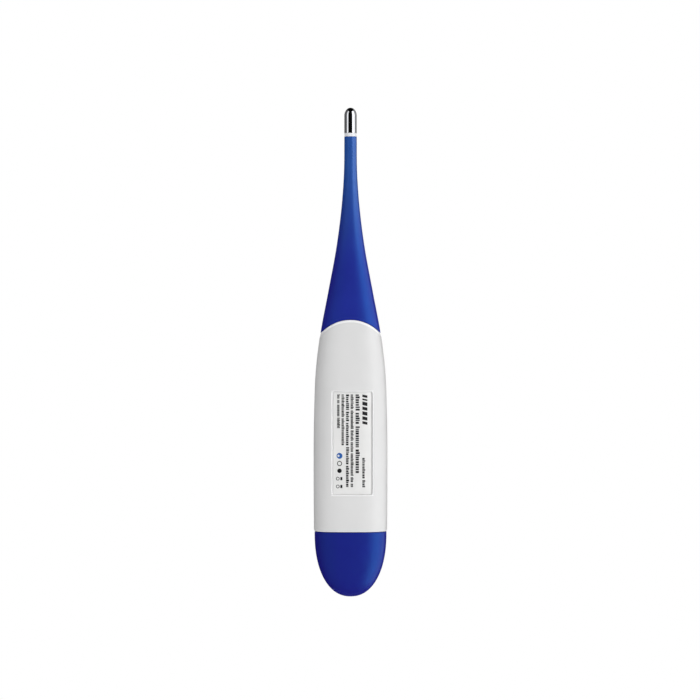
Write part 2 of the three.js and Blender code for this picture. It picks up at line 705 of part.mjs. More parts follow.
const sensorTip = body(
  piece("probe_stem", probeStem(), MATERIALS.blueRubber),
  piece("adhesive_ring", adhesiveRing(), MATERIALS.adhesive),
  piece("probe_cap", probeCap(), MATERIALS.steel),
  piece("thermistor_bead", thermistorBead(), MATERIALS.glassBead),
);

const button = body(piece("power_button", powerButton(), MATERIALS.blueRubber));

const plunger = body(
  piece("switch_plunger", cylinderZ(PLUNGER.radius, BUTTON.x, 0, PLUNGER.z), MATERIALS.switchBody),
);

const cover = body(piece("battery_cover", batteryCover(), MATERIALS.blueCover));

const cell = body(
  piece("cell_can", cellCan(), MATERIALS.steel),
  piece("cell_gasket", cellGasket(), MATERIALS.gasket),
  piece("cell_cap", cellCap(), MATERIALS.steel),
);

const thermometer = new THREE.Group();
thermometer.name = "digital_thermometer";
thermometer.add(handle, flexLink, sensorTip, button, plunger, cover, cell);

export default thermometer;
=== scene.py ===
"""Digital thermometer with a flexible probe, lying on its back: surfaces, materials, light and camera.

Sizes are in millimetres, and scaled to metres when a mesh is made.
+X runs to the sensor tip, +Z out of the display.
"""

import math

import bmesh
import bpy
from mathutils import Matrix, Vector

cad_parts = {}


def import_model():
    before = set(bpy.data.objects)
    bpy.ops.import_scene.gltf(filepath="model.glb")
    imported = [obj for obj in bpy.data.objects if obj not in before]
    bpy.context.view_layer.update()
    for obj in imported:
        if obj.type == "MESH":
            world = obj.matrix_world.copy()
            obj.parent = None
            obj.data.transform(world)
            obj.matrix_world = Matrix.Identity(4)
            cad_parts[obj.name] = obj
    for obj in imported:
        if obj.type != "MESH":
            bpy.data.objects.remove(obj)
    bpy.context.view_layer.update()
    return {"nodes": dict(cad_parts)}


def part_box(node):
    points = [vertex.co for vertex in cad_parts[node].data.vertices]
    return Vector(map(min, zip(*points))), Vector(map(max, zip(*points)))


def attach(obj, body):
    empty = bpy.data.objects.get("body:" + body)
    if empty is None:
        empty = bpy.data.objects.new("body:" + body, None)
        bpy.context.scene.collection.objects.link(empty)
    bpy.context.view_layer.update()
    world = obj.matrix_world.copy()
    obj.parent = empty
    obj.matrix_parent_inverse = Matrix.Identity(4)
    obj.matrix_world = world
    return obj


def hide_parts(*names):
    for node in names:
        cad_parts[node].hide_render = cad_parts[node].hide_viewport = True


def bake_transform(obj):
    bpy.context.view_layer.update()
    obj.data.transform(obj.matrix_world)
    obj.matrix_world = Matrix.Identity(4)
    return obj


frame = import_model()

MM = 0.001


def box_mm(node):
    """Lowest and highest corner of a CAD node, in millimetres."""
    low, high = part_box(node)
    return Vector(low) / MM, Vector(high) / MM


def plan_of(low, high):
    """Centre and size of a box, seen from above."""
    return ((low.x + high.x) / 2, (low.y + high.y) / 2), (high.x - low.x, high.y - low.y)


# ---- Driving sizes, the same as the CAD's ----

AXIS_Z = 6.0
OUTLINE = [  # x, half width, half thickness
    (-50.5, 10.33, 6.1),
    (-34, 10.42, 6.15),
    (-18, 10.3, 6.15),
    (-4, 9.7, 6.08),
    (4.5, 8.65, 5.7),
    (16.5, 6.4, 4.65),
    (30.5, 3.85, 3.2),
    (44, 2.27, 2.15),
    (51, 1.85, 1.82),
    (60.8, 1.75, 1.75),
]
ROUND_POWER, FULL_POWER = 2.0, 2.6
ROUND_X, FULL_X = 44.0, 4.5
ARCH_RADIUS, ARCH_CENTRE_X = 11.7, -2.7
CAP_WALL, CAP_NOSE = 0.2, 2.25
WALL = 1.4
COVER_WALL = 1.2
COVER_HALF = (10.15, 5.9)  # half width and half thickness of the battery cover
COVER_STRAIGHT_X, COVER_POWER = -51.1, 2.2
COVER_END_GAP = 1.4
NECK, NECK_BORE, GROOVE = (8.6, 4.35), (7.6, 3.4), (8.05, 3.75)
NECK_CHAMFER = 0.25
GROOVE_X = (-53.9, -52.7)
NOSE_INSET, NOSE_END_X = (2.6, 2.2), 17.0
NOSE_MIDDLE_X = (12.0, 14.5)  # stations between the nose's arched root and its end
NOSE_ROOT_X = 8.0  # where the nose's root takes its section from
ROOT_BORE, STEM_BORE = 1.2, 0.8
BEND_ZONE, SWAY_ZONE = (33.0, 45.0), (45.0, 57.0)  # where the flexible neck turns, about each pivot
SKIN_SEAM_X = 45.0

TAIL_X = box_mm("battery_cover")[0].x
HOUSING_REAR_X, NECK_REAR_X = -50.5, box_mm("housing_shell")[0].x
PROBE_END_X, SPIGOT_END_X = 60.8, box_mm("probe_stem")[1].x
CAP_LOW, CAP_HIGH = box_mm("probe_cap")
LENS_LOW, LENS_HIGH = box_mm("display_lens")
LABEL_LOW, LABEL_HIGH = box_mm("rating_label")
BUTTON_LOW, BUTTON_HIGH = box_mm("power_button")

AROUND = 128  # points round a section
STEP = 0.6  # spacing of sections along the length
PER_SIDE = 32  # points along a quarter of a plan outline
ARCH_STEPS, ARCH_PASSES = 12, 12  # rings between a plain section and the arch, and passes to place each
SMALLEST_CORNER = 0.02
EDGE_SHARE = 0.999  # the outer form stands upright at its edge, so heights are taken just inside it
SHARP_DEGREES = 40  # edges sharper than this aren't smoothed
MERGE_DISTANCE = 1e-7
FLAT_SOFTNESS = 0.03  # how softly the crown of the back passes into its flat

# ---- Outline functions ----


def curve_through(points):
    """Smooth curve through (x, value) points, the slope at each point taken from its two neighbours."""

    def secant(i):
        return (points[i + 1][1] - points[i][1]) / (points[i + 1][0] - points[i][0])

    def slope(i):
        if i == 0:
            return secant(0)
        if i == len(points) - 1:
            return secant(i - 1)
        before = points[i][0] - points[i - 1][0]
        after = points[i + 1][0] - points[i][0]
        return (secant(i - 1) * after + secant(i) * before) / (before + after)

    def at(x):
        i = 0
        while i < len(points) - 2 and x > points[i + 1][0]:
            i += 1
        run = points[i + 1][0] - points[i][0]
        t = min(1.0, max(0.0, (x - points[i][0]) / run))
        return (
            (2 * t**3 - 3 * t**2 + 1) * points[i][1]
            + (t**3 - 2 * t**2 + t) * run * slope(i)
            + (3 * t**2 - 2 * t**3) * points[i + 1][1]
            + (t**3 - t**2) * run * slope(i + 1)
        )

    return at


half_width = curve_through([(x, width) for x, width, _ in OUTLINE])
half_thickness = curve_through([(x, thickness) for x, _, thickness in OUTLINE])


def eased(value, start, stop):
    """0 to 1 between start and stop, levelling off at both."""
    t = min(1.0, max(0.0, (value - start) / (stop - start)))
    return t * t * (3 - 2 * t)


def power(x):
    return FULL_POWER + (ROUND_POWER - FULL_POWER) * eased(x, FULL_X, ROUND_X)


def rest_on_floor(z):
    """Presses the crown of the back into the flat that it rests on, with soft edges."""
    return (z + math.sqrt(z * z + 4 * FLAT_SOFTNESS**2)) / 2


def bulge(value, exponent):
    return math.copysign(abs(value) ** (2 / exponent), value)


def quarter(count):
    """Angles of a quarter turn, from 0 to 90 degrees."""
    return [math.pi / 2 * i / count for i in range(count + 1)]


def full_turn(count):
    return [2 * math.pi * i / count for i in range(count)]


def rolled(radius, count):
    """Distances in from the two faces that a rounded edge joins, point by point from the first face."""
    return [(radius * (1 - math.cos(angle)), radius * (1 - math.sin(angle))) for angle in quarter(count)]


def spaced(start, stop, step):
    count = max(1, round(abs(stop - start) / step))
    return [start + (stop - start) * i / count for i in range(count + 1)]


def shifted(ring, dx=0.0, dz=0.0):
    return [point + Vector((dx, 0, dz)) for point in ring]


def section_point(x, angle, wide, thick, exponent):
    """Point of a superellipse round the probe's axis. x is a number or a function of y."""
    y = wide * bulge(math.cos(angle), exponent)
    z = AXIS_Z + thick * bulge(math.sin(angle), exponent)
    return Vector((x(y) if callable(x) else x, y, rest_on_floor(z)))


def section(x, wide, thick, exponent, around=AROUND):
    return [section_point(x, angle, wide, thick, exponent) for angle in full_turn(around)]


def round_section(x, radius, around=AROUND):
    return section(x, radius, radius, ROUND_POWER, around)


def body_ring(x, inset=0.0, inset_thick=None):
    """Ring on the thermometer's outer form, drawn in by an inset."""
    thick = half_thickness(x) - (inset if inset_thick is None else inset_thick)
    return section(x, half_width(x) - inset, thick, power(x))


def nose_root(edge, inset):
    """Ring of the nose's section laid on an arched edge, which is a function of y."""
    wide, thick = half_width(NOSE_ROOT_X) - inset[0], half_thickness(NOSE_ROOT_X) - inset[1]
    return section(edge, wide, thick, power(NOSE_ROOT_X))


def body_z(x, y, side, inset=0.0):
    """Height of the outer form over a point of the plan, on the front (side 1) or the back (side -1)."""
    exponent = power(x)
    share = min(EDGE_SHARE, abs(y) / (half_width(x) - inset))
    rise = (half_thickness(x) - inset) * (1 - share**exponent) ** (1 / exponent)
    return rest_on_floor(AXIS_Z + side * rise)


def front_z(x, y):
    return body_z(x, y, 1)


def back_z(x, y):
    return body_z(x, y, -1)


def ceiling_z(x, y):
    """Height of the housing's inner face over the display."""
    return body_z(x, y, 1, WALL)


def arch_x(y, clearance=0.0):
    radius = ARCH_RADIUS + clearance
    return ARCH_CENTRE_X + math.sqrt(max(0.0, radius * radius - y * y))


def arch_ring(share, from_x, clearance, inset):
    """Ring part of the way from a plain section at from_x to the arched edge."""
    points = []
    for angle in full_turn(AROUND):
        x = FULL_X
        for _ in range(ARCH_PASSES):  # the edge depends on the width there, so it is closed in on
            edge = arch_x(half_width(x) * bulge(math.cos(angle), power(x)), clearance)
            x = from_x + (edge - from_x) * share
        points.append(section_point(x, angle, half_width(x) - inset, half_thickness(x) - inset, power(x)))
    return points


# ---- Mesh building ----


class Builder:
    """Collects points in millimetres and faces, then makes one object of them."""

    def __init__(self):
        self.points = []
        self.faces = []

    def add(self, ring):
        start = len(self.points)
        self.points.extend(ring)
        return list(range(start, start + len(ring)))

    def bridge(self, low, high, skip=()):
        count = len(low)
        for i in range(count):
            if i not in skip:
                after = (i + 1) % count
                self.faces.append((low[i], low[after], high[after], high[i]))

    def onward(self, last, ring):
        """Joins a new ring to the last one and returns its indices."""
        made = self.add(ring)
        self.bridge(last, made)
        return made

    def strip(self, rings, closed=False):
        """Joins rings one after another and returns their indices."""
        made = [self.add(ring) for ring in rings]
        for low, high in zip(made, made[1:]):
            self.bridge(low, high)
        if closed:
            self.bridge(made[-1], made[0])
        return made

    def solid(self, rings):
        """Joins rings one after another and closes both ends."""
        made = self.strip(rings)
        self.face(made[0])
        self.face(made[-1])

    def ribbon(self, pairs, thickness):
        """Thin strip through pairs of points, with its thickness laid off upwards."""
        self.solid([[*pair, *reversed(shifted(pair, dz=thickness))] for pair in pairs])

    def disc(self, centre, radius, low, thickness, hole=0.0, hole_shift=0.0):
        """Thin disc laid on a surface, or a ring where it has a hole."""
        outer = outline_ring(circle(centre, radius), low, 0, 8)
        rings = [outer, shifted(outer, dz=thickness)]
        if hole:
            inner = outline_ring(circle((centre[0], centre[1] + hole_shift), hole), low, 0, 8)
            self.strip([*rings, shifted(inner, dz=thickness), inner], closed=True)
        else:
            self.solid(rings)

    def fan(self, ring, centre):
        tip = self.add([centre])[0]
        for i in range(len(ring)):
            self.faces.append((ring[i], ring[(i + 1) % len(ring)], tip))

    def face(self, ring):
        self.faces.append(tuple(ring))

    def make(self, name, *materials):
        mesh = bpy.data.meshes.new(name)
        mesh.from_pydata([point * MM for point in self.points], [], self.faces)
        soft = bmesh.new()
        soft.from_mesh(mesh)
        bmesh.ops.remove_doubles(soft, verts=soft.verts, dist=MERGE_DISTANCE)
        loose = [vert for vert in soft.verts if not vert.link_faces]
        bmesh.ops.delete(soft, geom=loose, context="VERTS")
        bmesh.ops.recalc_face_normals(soft, faces=soft.faces)
        for face in soft.faces:
            face.smooth = True
        for edge in soft.edges:
            if edge.is_manifold and edge.calc_face_angle(0) > math.radians(SHARP_DEGREES):
                edge.smooth = False
        soft.to_mesh(mesh)
        soft.free()
        for material in materials:
            mesh.materials.append(material)
        made = bpy.data.objects.new(name, mesh)
        bpy.context.scene.collection.objects.link(made)
        return made


def place(made, body, slot, *replaced):
    """Rides a piece on its body, in place of CAD nodes where it replaces any."""
    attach(made, body)
    if replaced:
        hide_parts(*replaced)


def bend(made, first, second, zone, slot, *replaced):
    """Bakes a piece's placement into its mesh and hides the CAD nodes that it replaces."""
    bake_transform(made)
    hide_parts(*replaced)


class RoundedRectangle:
    """Plan outline of a rounded rectangle. A point is asked for by side and share along that side.

    Sides run +X, far Y, -X, near Y, and each starts and ends in the middle of a corner.
    """

    def __init__(self, centre, size, corner):
        self.centre = centre
        self.half = (size[0] / 2, size[1] / 2)
        self.corner = corner

    def at(self, side, share, grow=0.0):
        along, across = (1, 0) if side % 2 == 0 else (0, 1)
        corner = max(SMALLEST_CORNER, self.corner + grow)
        flat_half = self.half[along] + grow - corner
        arc = corner * math.pi / 4
        distance = share * (2 * arc + 2 * flat_half)
        reach = self.half[across] + grow - corner
        if distance < arc:
            angle = -math.pi / 4 + distance / corner
            out, run = reach + corner * math.cos(angle), -flat_half + corner * math.sin(angle)
        elif distance > arc + 2 * flat_half:
            angle = (distance - arc - 2 * flat_half) / corner
            out, run = reach + corner * math.cos(angle), flat_half + corner * math.sin(angle)
        else:
            out, run = reach + corner, -flat_half + distance - arc
        x, y = [(out, run), (-run, out), (-out, -run), (run, -out)][side]
        return self.centre[0] + x, self.centre[1] + y


class Oval:
    """Plan outline of an ellipse, asked for in the same way."""

    def __init__(self, centre, size):
        self.centre = centre
        self.half = (size[0] / 2, size[1] / 2)

    def at(self, side, share, grow=0.0):
        angle = math.pi / 2 * (side + share - 0.5)
        return (
            self.centre[0] + (self.half[0] + grow) * math.cos(angle),
            self.centre[1] + (self.half[1] + grow) * math.sin(angle),
        )


def circle(centre, radius):
    return Oval(centre, (2 * radius, 2 * radius))


def at_height(x, y, height):
    """Point over the plan; height is a number or a function of x and y."""
    return Vector((x, y, height(x, y) if callable(height) else height))


def outline_ring(outline, height, grow=0.0, per_side=PER_SIDE):
    points = [outline.at(side, i / per_side, grow) for side in range(4) for i in range(per_side)]
    return [at_height(x, y, height) for x, y in points]


def shrunk_ring(outline, top, share, per_side=PER_SIDE):
    """Ring of the outline scaled towards its centre."""
    points = []
    for point in outline_ring(outline, 0, 0, per_side):
        x = outline.centre[0] + (point.x - outline.centre[0]) * (1 - share)
        y = outline.centre[1] + (point.y - outline.centre[1]) * (1 - share)
        points.append(at_height(x, y, top))
    return points


def crowned_rings(outline, top, edge, edge_steps, steps, per_side=PER_SIDE):
    """Rings of a top surface, over its rolled edge and on towards the middle."""
    rings = []
    for inward, drop in rolled(edge, edge_steps):
        rings.append(outline_ring(outline, lambda x, y: top(x, y) - drop, -inward, per_side))
    smallest = min(outline.half)
    for i in range(1, steps):
        rings.append(shrunk_ring(outline, top, (edge + (smallest - edge) * i / steps) / smallest, per_side))
    return rings


def topped(name, material, outline, rings, top):
    """Solid through rings, with a flat first end and the middle of its top surface as the other."""
    build = Builder()
    made = build.strip(rings)
    build.face(made[0])
    build.fan(made[-1], at_height(*outline.centre, top))
    return build.make(name, material)


class Hole:
    """Opening in a surface of rings, by the part of the grid that it takes out."""

    def __init__(self, outline, x_range, degrees, side):
        self.outline = outline
        self.x_range = x_range
        self.columns = [round(angle * AROUND / 360) for angle in degrees]
        self.side = side

    def rows(self, stations):
        low = max(i for i, x in enumerate(stations) if x <= self.x_range[0])
        high = min(i for i, x in enumerate(stations) if x >= self.x_range[1])
        return low, high

    def border(self, made, stations):
        """Indices of the grid points round the hole, in four parts: +X, a Y side, -X, the other Y side."""
        (row0, row1), (col0, col1) = self.rows(stations), self.columns
        parts = [made[row1][col0:col1], [made[row][col1] for row in range(row1, row0, -1)]]
        parts += [made[row0][col1:col0:-1], [made[row][col0] for row in range(row0, row1)]]
        return parts


def sink_hole(build, hole, made, stations, surface, edge):
    """Lays rings from the border of the grid over the hole's rolled edge; returns the last and a ring maker.

    surface(x, y) is the height of the surface; edge is the radius of the rolled edge, or 0 for a plain one.
    """
    border = hole.border(made, stations)
    backwards = hole.side > 0  # on the front the border runs against the outline
    places = []
    for step, part in enumerate(border):
        axis = 1 - step % 2
        first, last = (build.points[index][axis] for index in (part[0], border[(step + 1) % 4][0]))
        for index in part:
            share = (build.points[index][axis] - first) / (last - first)
            places.append((-step % 4, 1 - share) if backwards else (step, share))
    last = [index for part in border for index in part]
    start = [build.points[index].copy() for index in last]

    def ring_at(outline, height, grow=0.0):
        return [at_height(*outline.at(side, share, grow), height) for side, share in places]

    steps = 6
    inner = ring_at(hole.outline, 0, edge)
    for i in range(1, steps + 1):
        share = 1 - (1 - i / steps) ** 2
        between = [outer_point.lerp(inner_point, share) for outer_point, inner_point in zip(start, inner)]
        last = build.onward(last, [at_height(point.x, point.y, surface) for point in between])
    if edge:
        for drop, grow in rolled(edge, 4)[1:]:
            ring = ring_at(hole.outline, lambda x, y: surface(x, y) - hole.side * drop, grow)
            last = build.onward(last, ring)
    return last, ring_at


def grid_with_holes(build, rings, stations, holes, first_station):
    """Joins rings at the given stations, leaving out the cells that the holes take."""
    made = [build.add(ring) for ring in rings]
    for i, (low, high) in enumerate(zip(made, made[1:])):
        skip = set()
        for hole in holes:
            row0, row1 = hole.rows(stations)
            if row0 <= i - first_station < row1:
                skip |= set(range(*hole.columns))
        build.bridge(low, high, skip)
    return made


# ---- Materials ----


def srgb(red, green, blue):
    """Linear colour from 0-255 display values."""

    def linear(value):
        value /= 255
        return value / 12.92 if value <= 0.04045 else ((value + 0.055) / 1.055) ** 2.4

    return (linear(red), linear(green), linear(blue), 1.0)


def scaled(colour, factor):
    return (*[min(1.0, channel * factor) for channel in colour[:3]], 1.0)


class NodeTree:
    """Node tree of a material or world, whose nodes are made with their inputs in one call."""

    def __init__(self, owner):
        owner.use_nodes = True
        self.nodes, self.links = owner.node_tree.nodes, owner.node_tree.links

    def node(self, kind, inputs=(), **settings):
        """Outputs of a new node. An input is given a value, or the output that feeds it."""
        made = self.nodes.new("ShaderNode" + kind)
        for setting, value in settings.items():
            setattr(made, setting, value)
        for socket, value in dict(inputs).items():
            self.set(made.inputs[socket], value)
        return made.outputs

    def set(self, socket, value):
        if isinstance(value, bpy.types.NodeSocket):
            self.links.new(value, socket)
        else:
            socket.default_value = value

    def mapped(self, value, low, high, from_low=0.3, from_high=0.7, **settings):
        ends = {"From Min": from_low, "From Max": from_high, "To Min": low, "To Max": high}
        return self.node("MapRange", {"Value": value, **ends}, **settings)["Result"]

    def mixed_shader(self, factor, first, second):
        return self.node("MixShader", {"Fac": factor, 1: first, 2: second})["Shader"]


class Finish(NodeTree):
    """Material on the Principled shader, with texture over the object's own coordinates."""

    def __init__(self, name, **inputs):
        self.material = bpy.data.materials.new(name)
        super().__init__(self.material)
        self.shader = self.nodes["Principled BSDF"]
        self.coordinates = self.node("TexCoord")["Object"]
        for socket, value in inputs.items():
            self.shader.inputs[socket].default_value = value

    def noise(self, feature_mm, detail=3.0, stretch=(1, 1, 1)):
        """Noise with features of about that size."""
        vector = self.node("Mapping", {"Vector": self.coordinates, "Scale": stretch})["Vector"]
        inputs = {"Vector": vector, "Scale": 1.0 / (feature_mm * MM), "Detail": detail}
        return self.node("TexNoise", inputs)["Fac"]

    def drift(self, feature_mm, detail):
        """Noise as a share from 0 to 1."""
        return self.mapped(self.noise(feature_mm, detail), 0, 1)

    def mix(self, factor, first, second):
        return self.node("Mix", {0: factor, 6: first, 7: second}, data_type="RGBA")[2]

    def feed(self, socket, value):
        self.set(self.shader.inputs[socket], value)

    def colour(self, first, second, factor):
        self.feed("Base Color", self.mix(factor, first, second))

    def toned(self, colour, tone, factor):
        """Colour that drifts to either side of a given one."""
        return self.mix(factor, scaled(colour, 1 - tone), scaled(colour, 1 + tone))

    def roughness(self, low, high, factor):
        self.feed("Roughness", self.mapped(factor, low, high))

    def bump(self, height, depth_mm, strength=1.0):
        inputs = {"Height": height, "Distance": depth_mm * MM, "Strength": strength}
        self.feed("Normal", self.node("Bump", inputs)["Normal"])

    def surface(self, shader):
        self.links.new(shader, self.nodes["Material Output"].inputs["Surface"])


# Feature size in mm and detail of the slow drift in a moulding's colour, and of the noise in its gloss
DRIFT, GLOSS = (9.0, 2.0), (1.6, 4.0)
GLOSS_SPREAD = (-0.04, 0.05)


def uneven(name, colours, drift, rough, gloss, grain, depth, **inputs):
    """Finish that varies by three noises: colour by drift, roughness by gloss, height by grain."""
    made = Finish(name, **inputs)
    made.colour(*colours, made.mapped(made.noise(*drift), 0, 1))
    made.roughness(*rough, made.noise(*gloss))
    made.bump(made.noise(*grain), depth)
    return made


def moulded(name, colour, rough, grain_mm, grain_depth, tone, **inputs):
    """Moulded plastic or rubber: faint tone drift, fine grain and uneven gloss."""
    colours = (scaled(colour, 1 - tone), scaled(colour, 1 + tone))
    spread = [rough + change for change in GLOSS_SPREAD]
    return uneven(name, colours, DRIFT, spread, GLOSS, (grain_mm, 2.0), grain_depth, **inputs).material


def soft_rubber():
    """Blue elastomer whose base colour turns paler towards the neck: a painted sheen. The neck is also
    smoother, with a paler gloss tint.
    """
    made = Finish("blue_rubber", **{"Specular IOR Level": 1.0, "IOR": 1.55})
    drift = made.drift(*DRIFT)
    along = made.node("SeparateXYZ", {"Vector": made.coordinates})["X"]
    neck_sheen_share = made.mapped(along, 0.0, 1.0, *NECK_FADE, interpolation_type="SMOOTHSTEP")
    made.colour(made.toned(BLUE, 0.05, drift), made.toned(BLUE_NECK_SHEEN, 0.05, drift), neck_sheen_share)
    made.feed("Specular Tint", made.mix(neck_sheen_share, BLUE_GLOSS, NECK_GLOSS))
    change = made.mapped(made.noise(*GLOSS), *GLOSS_SPREAD)
    rough = made.mapped(neck_sheen_share, 0.42, 0.3, 0.0, 1.0)
    made.feed("Roughness", made.node("Math", {0: rough, 1: change})["Value"])
    made.bump(made.noise(0.22, 2.0), 0.004)
    return made.material


def metal(name, colour, rough, stretch, lines_mm, depth):
    """Metal with fine drawn or turned lines across the stretch."""
    made = Finish(name, Metallic=1.0)
    lines = made.noise(lines_mm, 3.0, stretch)
    made.feed("Base Color", made.toned(colour, 0.06, made.drift(2.0, 4.0)))
    made.roughness(rough * 0.7, rough * 1.4, lines)
    made.bump(lines, depth)
    return made.material


BLUE = srgb(36, 34, 146)
# Paler blue of the neck: a painted sheen
BLUE_NECK_SHEEN = srgb(37, 82, 164)
BLUE_COVER = srgb(31, 26, 133)
BLUE_GLOSS = srgb(62, 168, 255)
NECK_GLOSS = srgb(150, 190, 255)
NECK_FADE = (0.022, 0.056)  # metres along the probe, from the full blue to the paler neck; the paler blue is painted sheen
FLOOR_FADE = (0.12, 0.5)  # metres from the origin, from the floor's own tone to plain white

WHITE_PLASTIC = moulded("white_plastic", srgb(226, 226, 226), 0.34, 0.28, 0.0025, 0.015)
# Brighter white for the housing's rim bevels and the pocket's rolled edge: a painted highlight
WHITE_RIM_HIGHLIGHT = moulded("white_rim_painted_highlight", srgb(253, 253, 254), 0.26, 0.28, 0.0015, 0.01)
BLUE_RUBBER = soft_rubber()
COVER_SHINE = {"Specular Tint": BLUE_GLOSS, "Specular IOR Level": 1.0, "IOR": 1.5}
BLUE_PLASTIC = moulded("blue_plastic", BLUE_COVER, 0.4, 0.3, 0.003, 0.05, **COVER_SHINE)
STEEL = metal("polished_steel", srgb(214, 216, 220), 0.035, (0.2, 1, 1), 1.6, 0.00002)
CELL_STEEL = metal("cell_steel", srgb(206, 207, 206), 0.42, (1, 1, 1), 0.12, 0.001)
CONTACT_METAL = metal("contact_metal", srgb(188, 184, 170), 0.26, (1, 14, 1), 0.8, 0.0006)
BRASS = metal("brass", srgb(205, 165, 84), 0.28, (1, 1, 1), 0.15, 0.0006)
SOLDER = metal("solder", srgb(196, 199, 202), 0.22, (1, 1, 1), 0.3, 0.003)
REFLECTOR = metal("reflector_film", srgb(168, 172, 160), 0.4, (1, 1, 1), 0.08, 0.0005)
SEAL_RUBBER = moulded("seal_rubber", srgb(34, 35, 38), 0.62, 0.15, 0.004, 0.1)
HOLDER_PLASTIC = moulded("holder_plastic", srgb(214, 212, 203), 0.48, 0.3, 0.003, 0.03)
TRAY_PLASTIC = moulded("tray_plastic", srgb(222, 223, 224), 0.45, 0.3, 0.003, 0.02)
SWITCH_PLASTIC = moulded("switch_plastic", srgb(36, 37, 41), 0.5, 0.2, 0.003, 0.08)
RESIN = moulded("black_resin", srgb(18, 18, 19), 0.28, 1.2, 0.01, 0.1)
CHIP_CERAMIC = moulded("chip_ceramic", srgb(158, 132, 96), 0.5, 0.15, 0.003, 0.08)
PIEZO_CERAMIC = moulded("piezo_ceramic", srgb(222, 216, 200), 0.5, 0.25, 0.003, 0.03)
GASKET_RUBBER = moulded("gasket", srgb(40, 54, 66), 0.5, 0.2, 0.003, 0.05)
WIRE_RED = moulded("wire_red", srgb(178, 30, 30), 0.35, 0.4, 0.003, 0.06)
WIRE_BLACK = moulded("wire_black", srgb(26, 26, 28), 0.35, 0.4, 0.003, 0.06)
INK = moulded("ink", srgb(22, 22, 25), 0.55, 0.12, 0.001, 0.12)
INK_BLUE = moulded("ink_blue", srgb(30, 96, 176), 0.5, 0.12, 0.001, 0.08)
INK_WHITE = moulded("ink_white", srgb(232, 233, 235), 0.5, 0.15, 0.001, 0.02)
LCD_DARK = moulded("lcd_segment", srgb(24, 30, 28), 0.3, 0.3, 0.001, 0.05)


def adhesive_material():
    colours = (srgb(232, 234, 238), srgb(248, 249, 252))
    glow = {"Subsurface Weight": 0.15, "Subsurface Scale": 0.4 * MM, "Subsurface Radius": (1.0, 0.9, 0.8)}
    gloss, grain = (0.3, 3.0), (0.8, 0.0)
    made = uneven("cured_adhesive", colours, (0.5, 3.0), (0.3, 0.42), gloss, grain, 0.002, IOR=1.48, **glow)
    return made.material


def label_material():
    """Satin printed film with a fine paper-like tooth."""
    colours = (srgb(230, 230, 229), srgb(238, 238, 237))
    return uneven("label_film", colours, (6.0, 2.0), (0.38, 0.5), (0.6, 4.0), (0.12, 4.0), 0.0015).material


def clear_material():
    """Clear window that lets light through to what is under it without casting a shadow."""
    colours = (srgb(244, 248, 248), srgb(250, 252, 252))
    body = {"Transmission Weight": 1.0, "IOR": 1.49}
    made = uneven("clear_window", colours, (8.0, 1.0), (0.015, 0.04), (3.0, 3.0), (5.0, 1.0), 0.002, **body)
    path = made.node("LightPath")
    rays = {0: path["Is Shadow Ray"], 1: path["Is Diffuse Ray"]}
    lets_light_in = made.node("Math", rays, operation="MAXIMUM")["Value"]
    clear = made.node("BsdfTransparent", {"Color": (0.9, 0.92, 0.92, 1)})["BSDF"]
    made.surface(made.mixed_shader(lets_light_in, made.shader.outputs["BSDF"], clear))
    return made.material


def lcd_material():
    """Grey-green display with the faint grid of its unlit segments' electrodes."""
    colours = (srgb(160, 170, 152), srgb(172, 181, 163))
    coat = {"Coat Weight": 0.6, "Coat Roughness": 0.08}
    lines = (0.25, 1.0, (1, 30, 1))
    return uneven("lcd_face", colours, lines, (0.3, 0.42), (0.2, 3.0), (0.2, 2.0), 0.001, **coat).material


def board_material():
    """Green solder mask over copper tracks that run along the board."""
    made = Finish("circuit_board", **{"Coat Weight": 0.4, "Coat Roughness": 0.15})
    mask = {"Color1": srgb(20, 88, 46), "Color2": srgb(24, 98, 52), "Mortar": srgb(74, 142, 76)}
    layout = {"Vector": made.coordinates, "Scale": 1 / (3.2 * MM), "Mortar Size": 0.06}
    tracks = made.node("TexBrick", {**mask, **layout}, offset=0.5)
    made.feed("Base Color", tracks["Color"])
    made.roughness(0.3, 0.45, made.noise(0.8, 3.0))
    made.bump(tracks["Fac"], 0.02, 0.5)
    return made.material


def zebra_material():
    """Dark and pale rubber layers, stacked along the strip."""
    made = Finish("zebra_rubber")
    layout = {"Vector": made.coordinates, "Scale": 1 / (1.2 * MM)}
    layers = made.node("TexWave", layout, bands_direction="X")["Fac"]
    made.colour(srgb(30, 27, 29), srgb(188, 150, 154), made.mapped(layers, 0, 1))
    made.roughness(0.6, 0.75, made.noise(0.3, 3.0))
    made.bump(layers, 0.004)
    return made.material


def bead_material():
    colours = (srgb(54, 36, 28), srgb(84, 56, 40))
    coat = {"Coat Weight": 1.0, "Coat Roughness": 0.05}
    gloss, grain = (0.4, 2.0), (0.5, 1.0)
    return uneven("glass_bead", colours, (0.5, 3.0), (0.12, 0.25), gloss, grain, 0.01, **coat).material


def floor_material():
    """Pale matt sheet, seen from above only, that passes into an even white away from the object."""
    colours = (srgb(228, 229, 231), srgb(233, 234, 236))
    made = uneven("pale_floor", colours, (60.0, 2.0), (0.7, 0.8), (4.0, 3.0), (1.5, 3.0), 0.003)
    distance = made.node("VectorMath", {0: made.coordinates}, operation="LENGTH")["Value"]
    far = made.mapped(distance, 0.0, 1.0, *FLOOR_FADE, interpolation_type="SMOOTHSTEP")
    top = made.mixed_shader(far, made.shader.outputs["BSDF"], made.node("Emission")["Emission"])
    from_behind = made.node("NewGeometry")["Backfacing"]
    made.surface(made.mixed_shader(from_behind, top, made.node("BsdfTransparent")["BSDF"]))
    return made.material


# ---- Housing ----

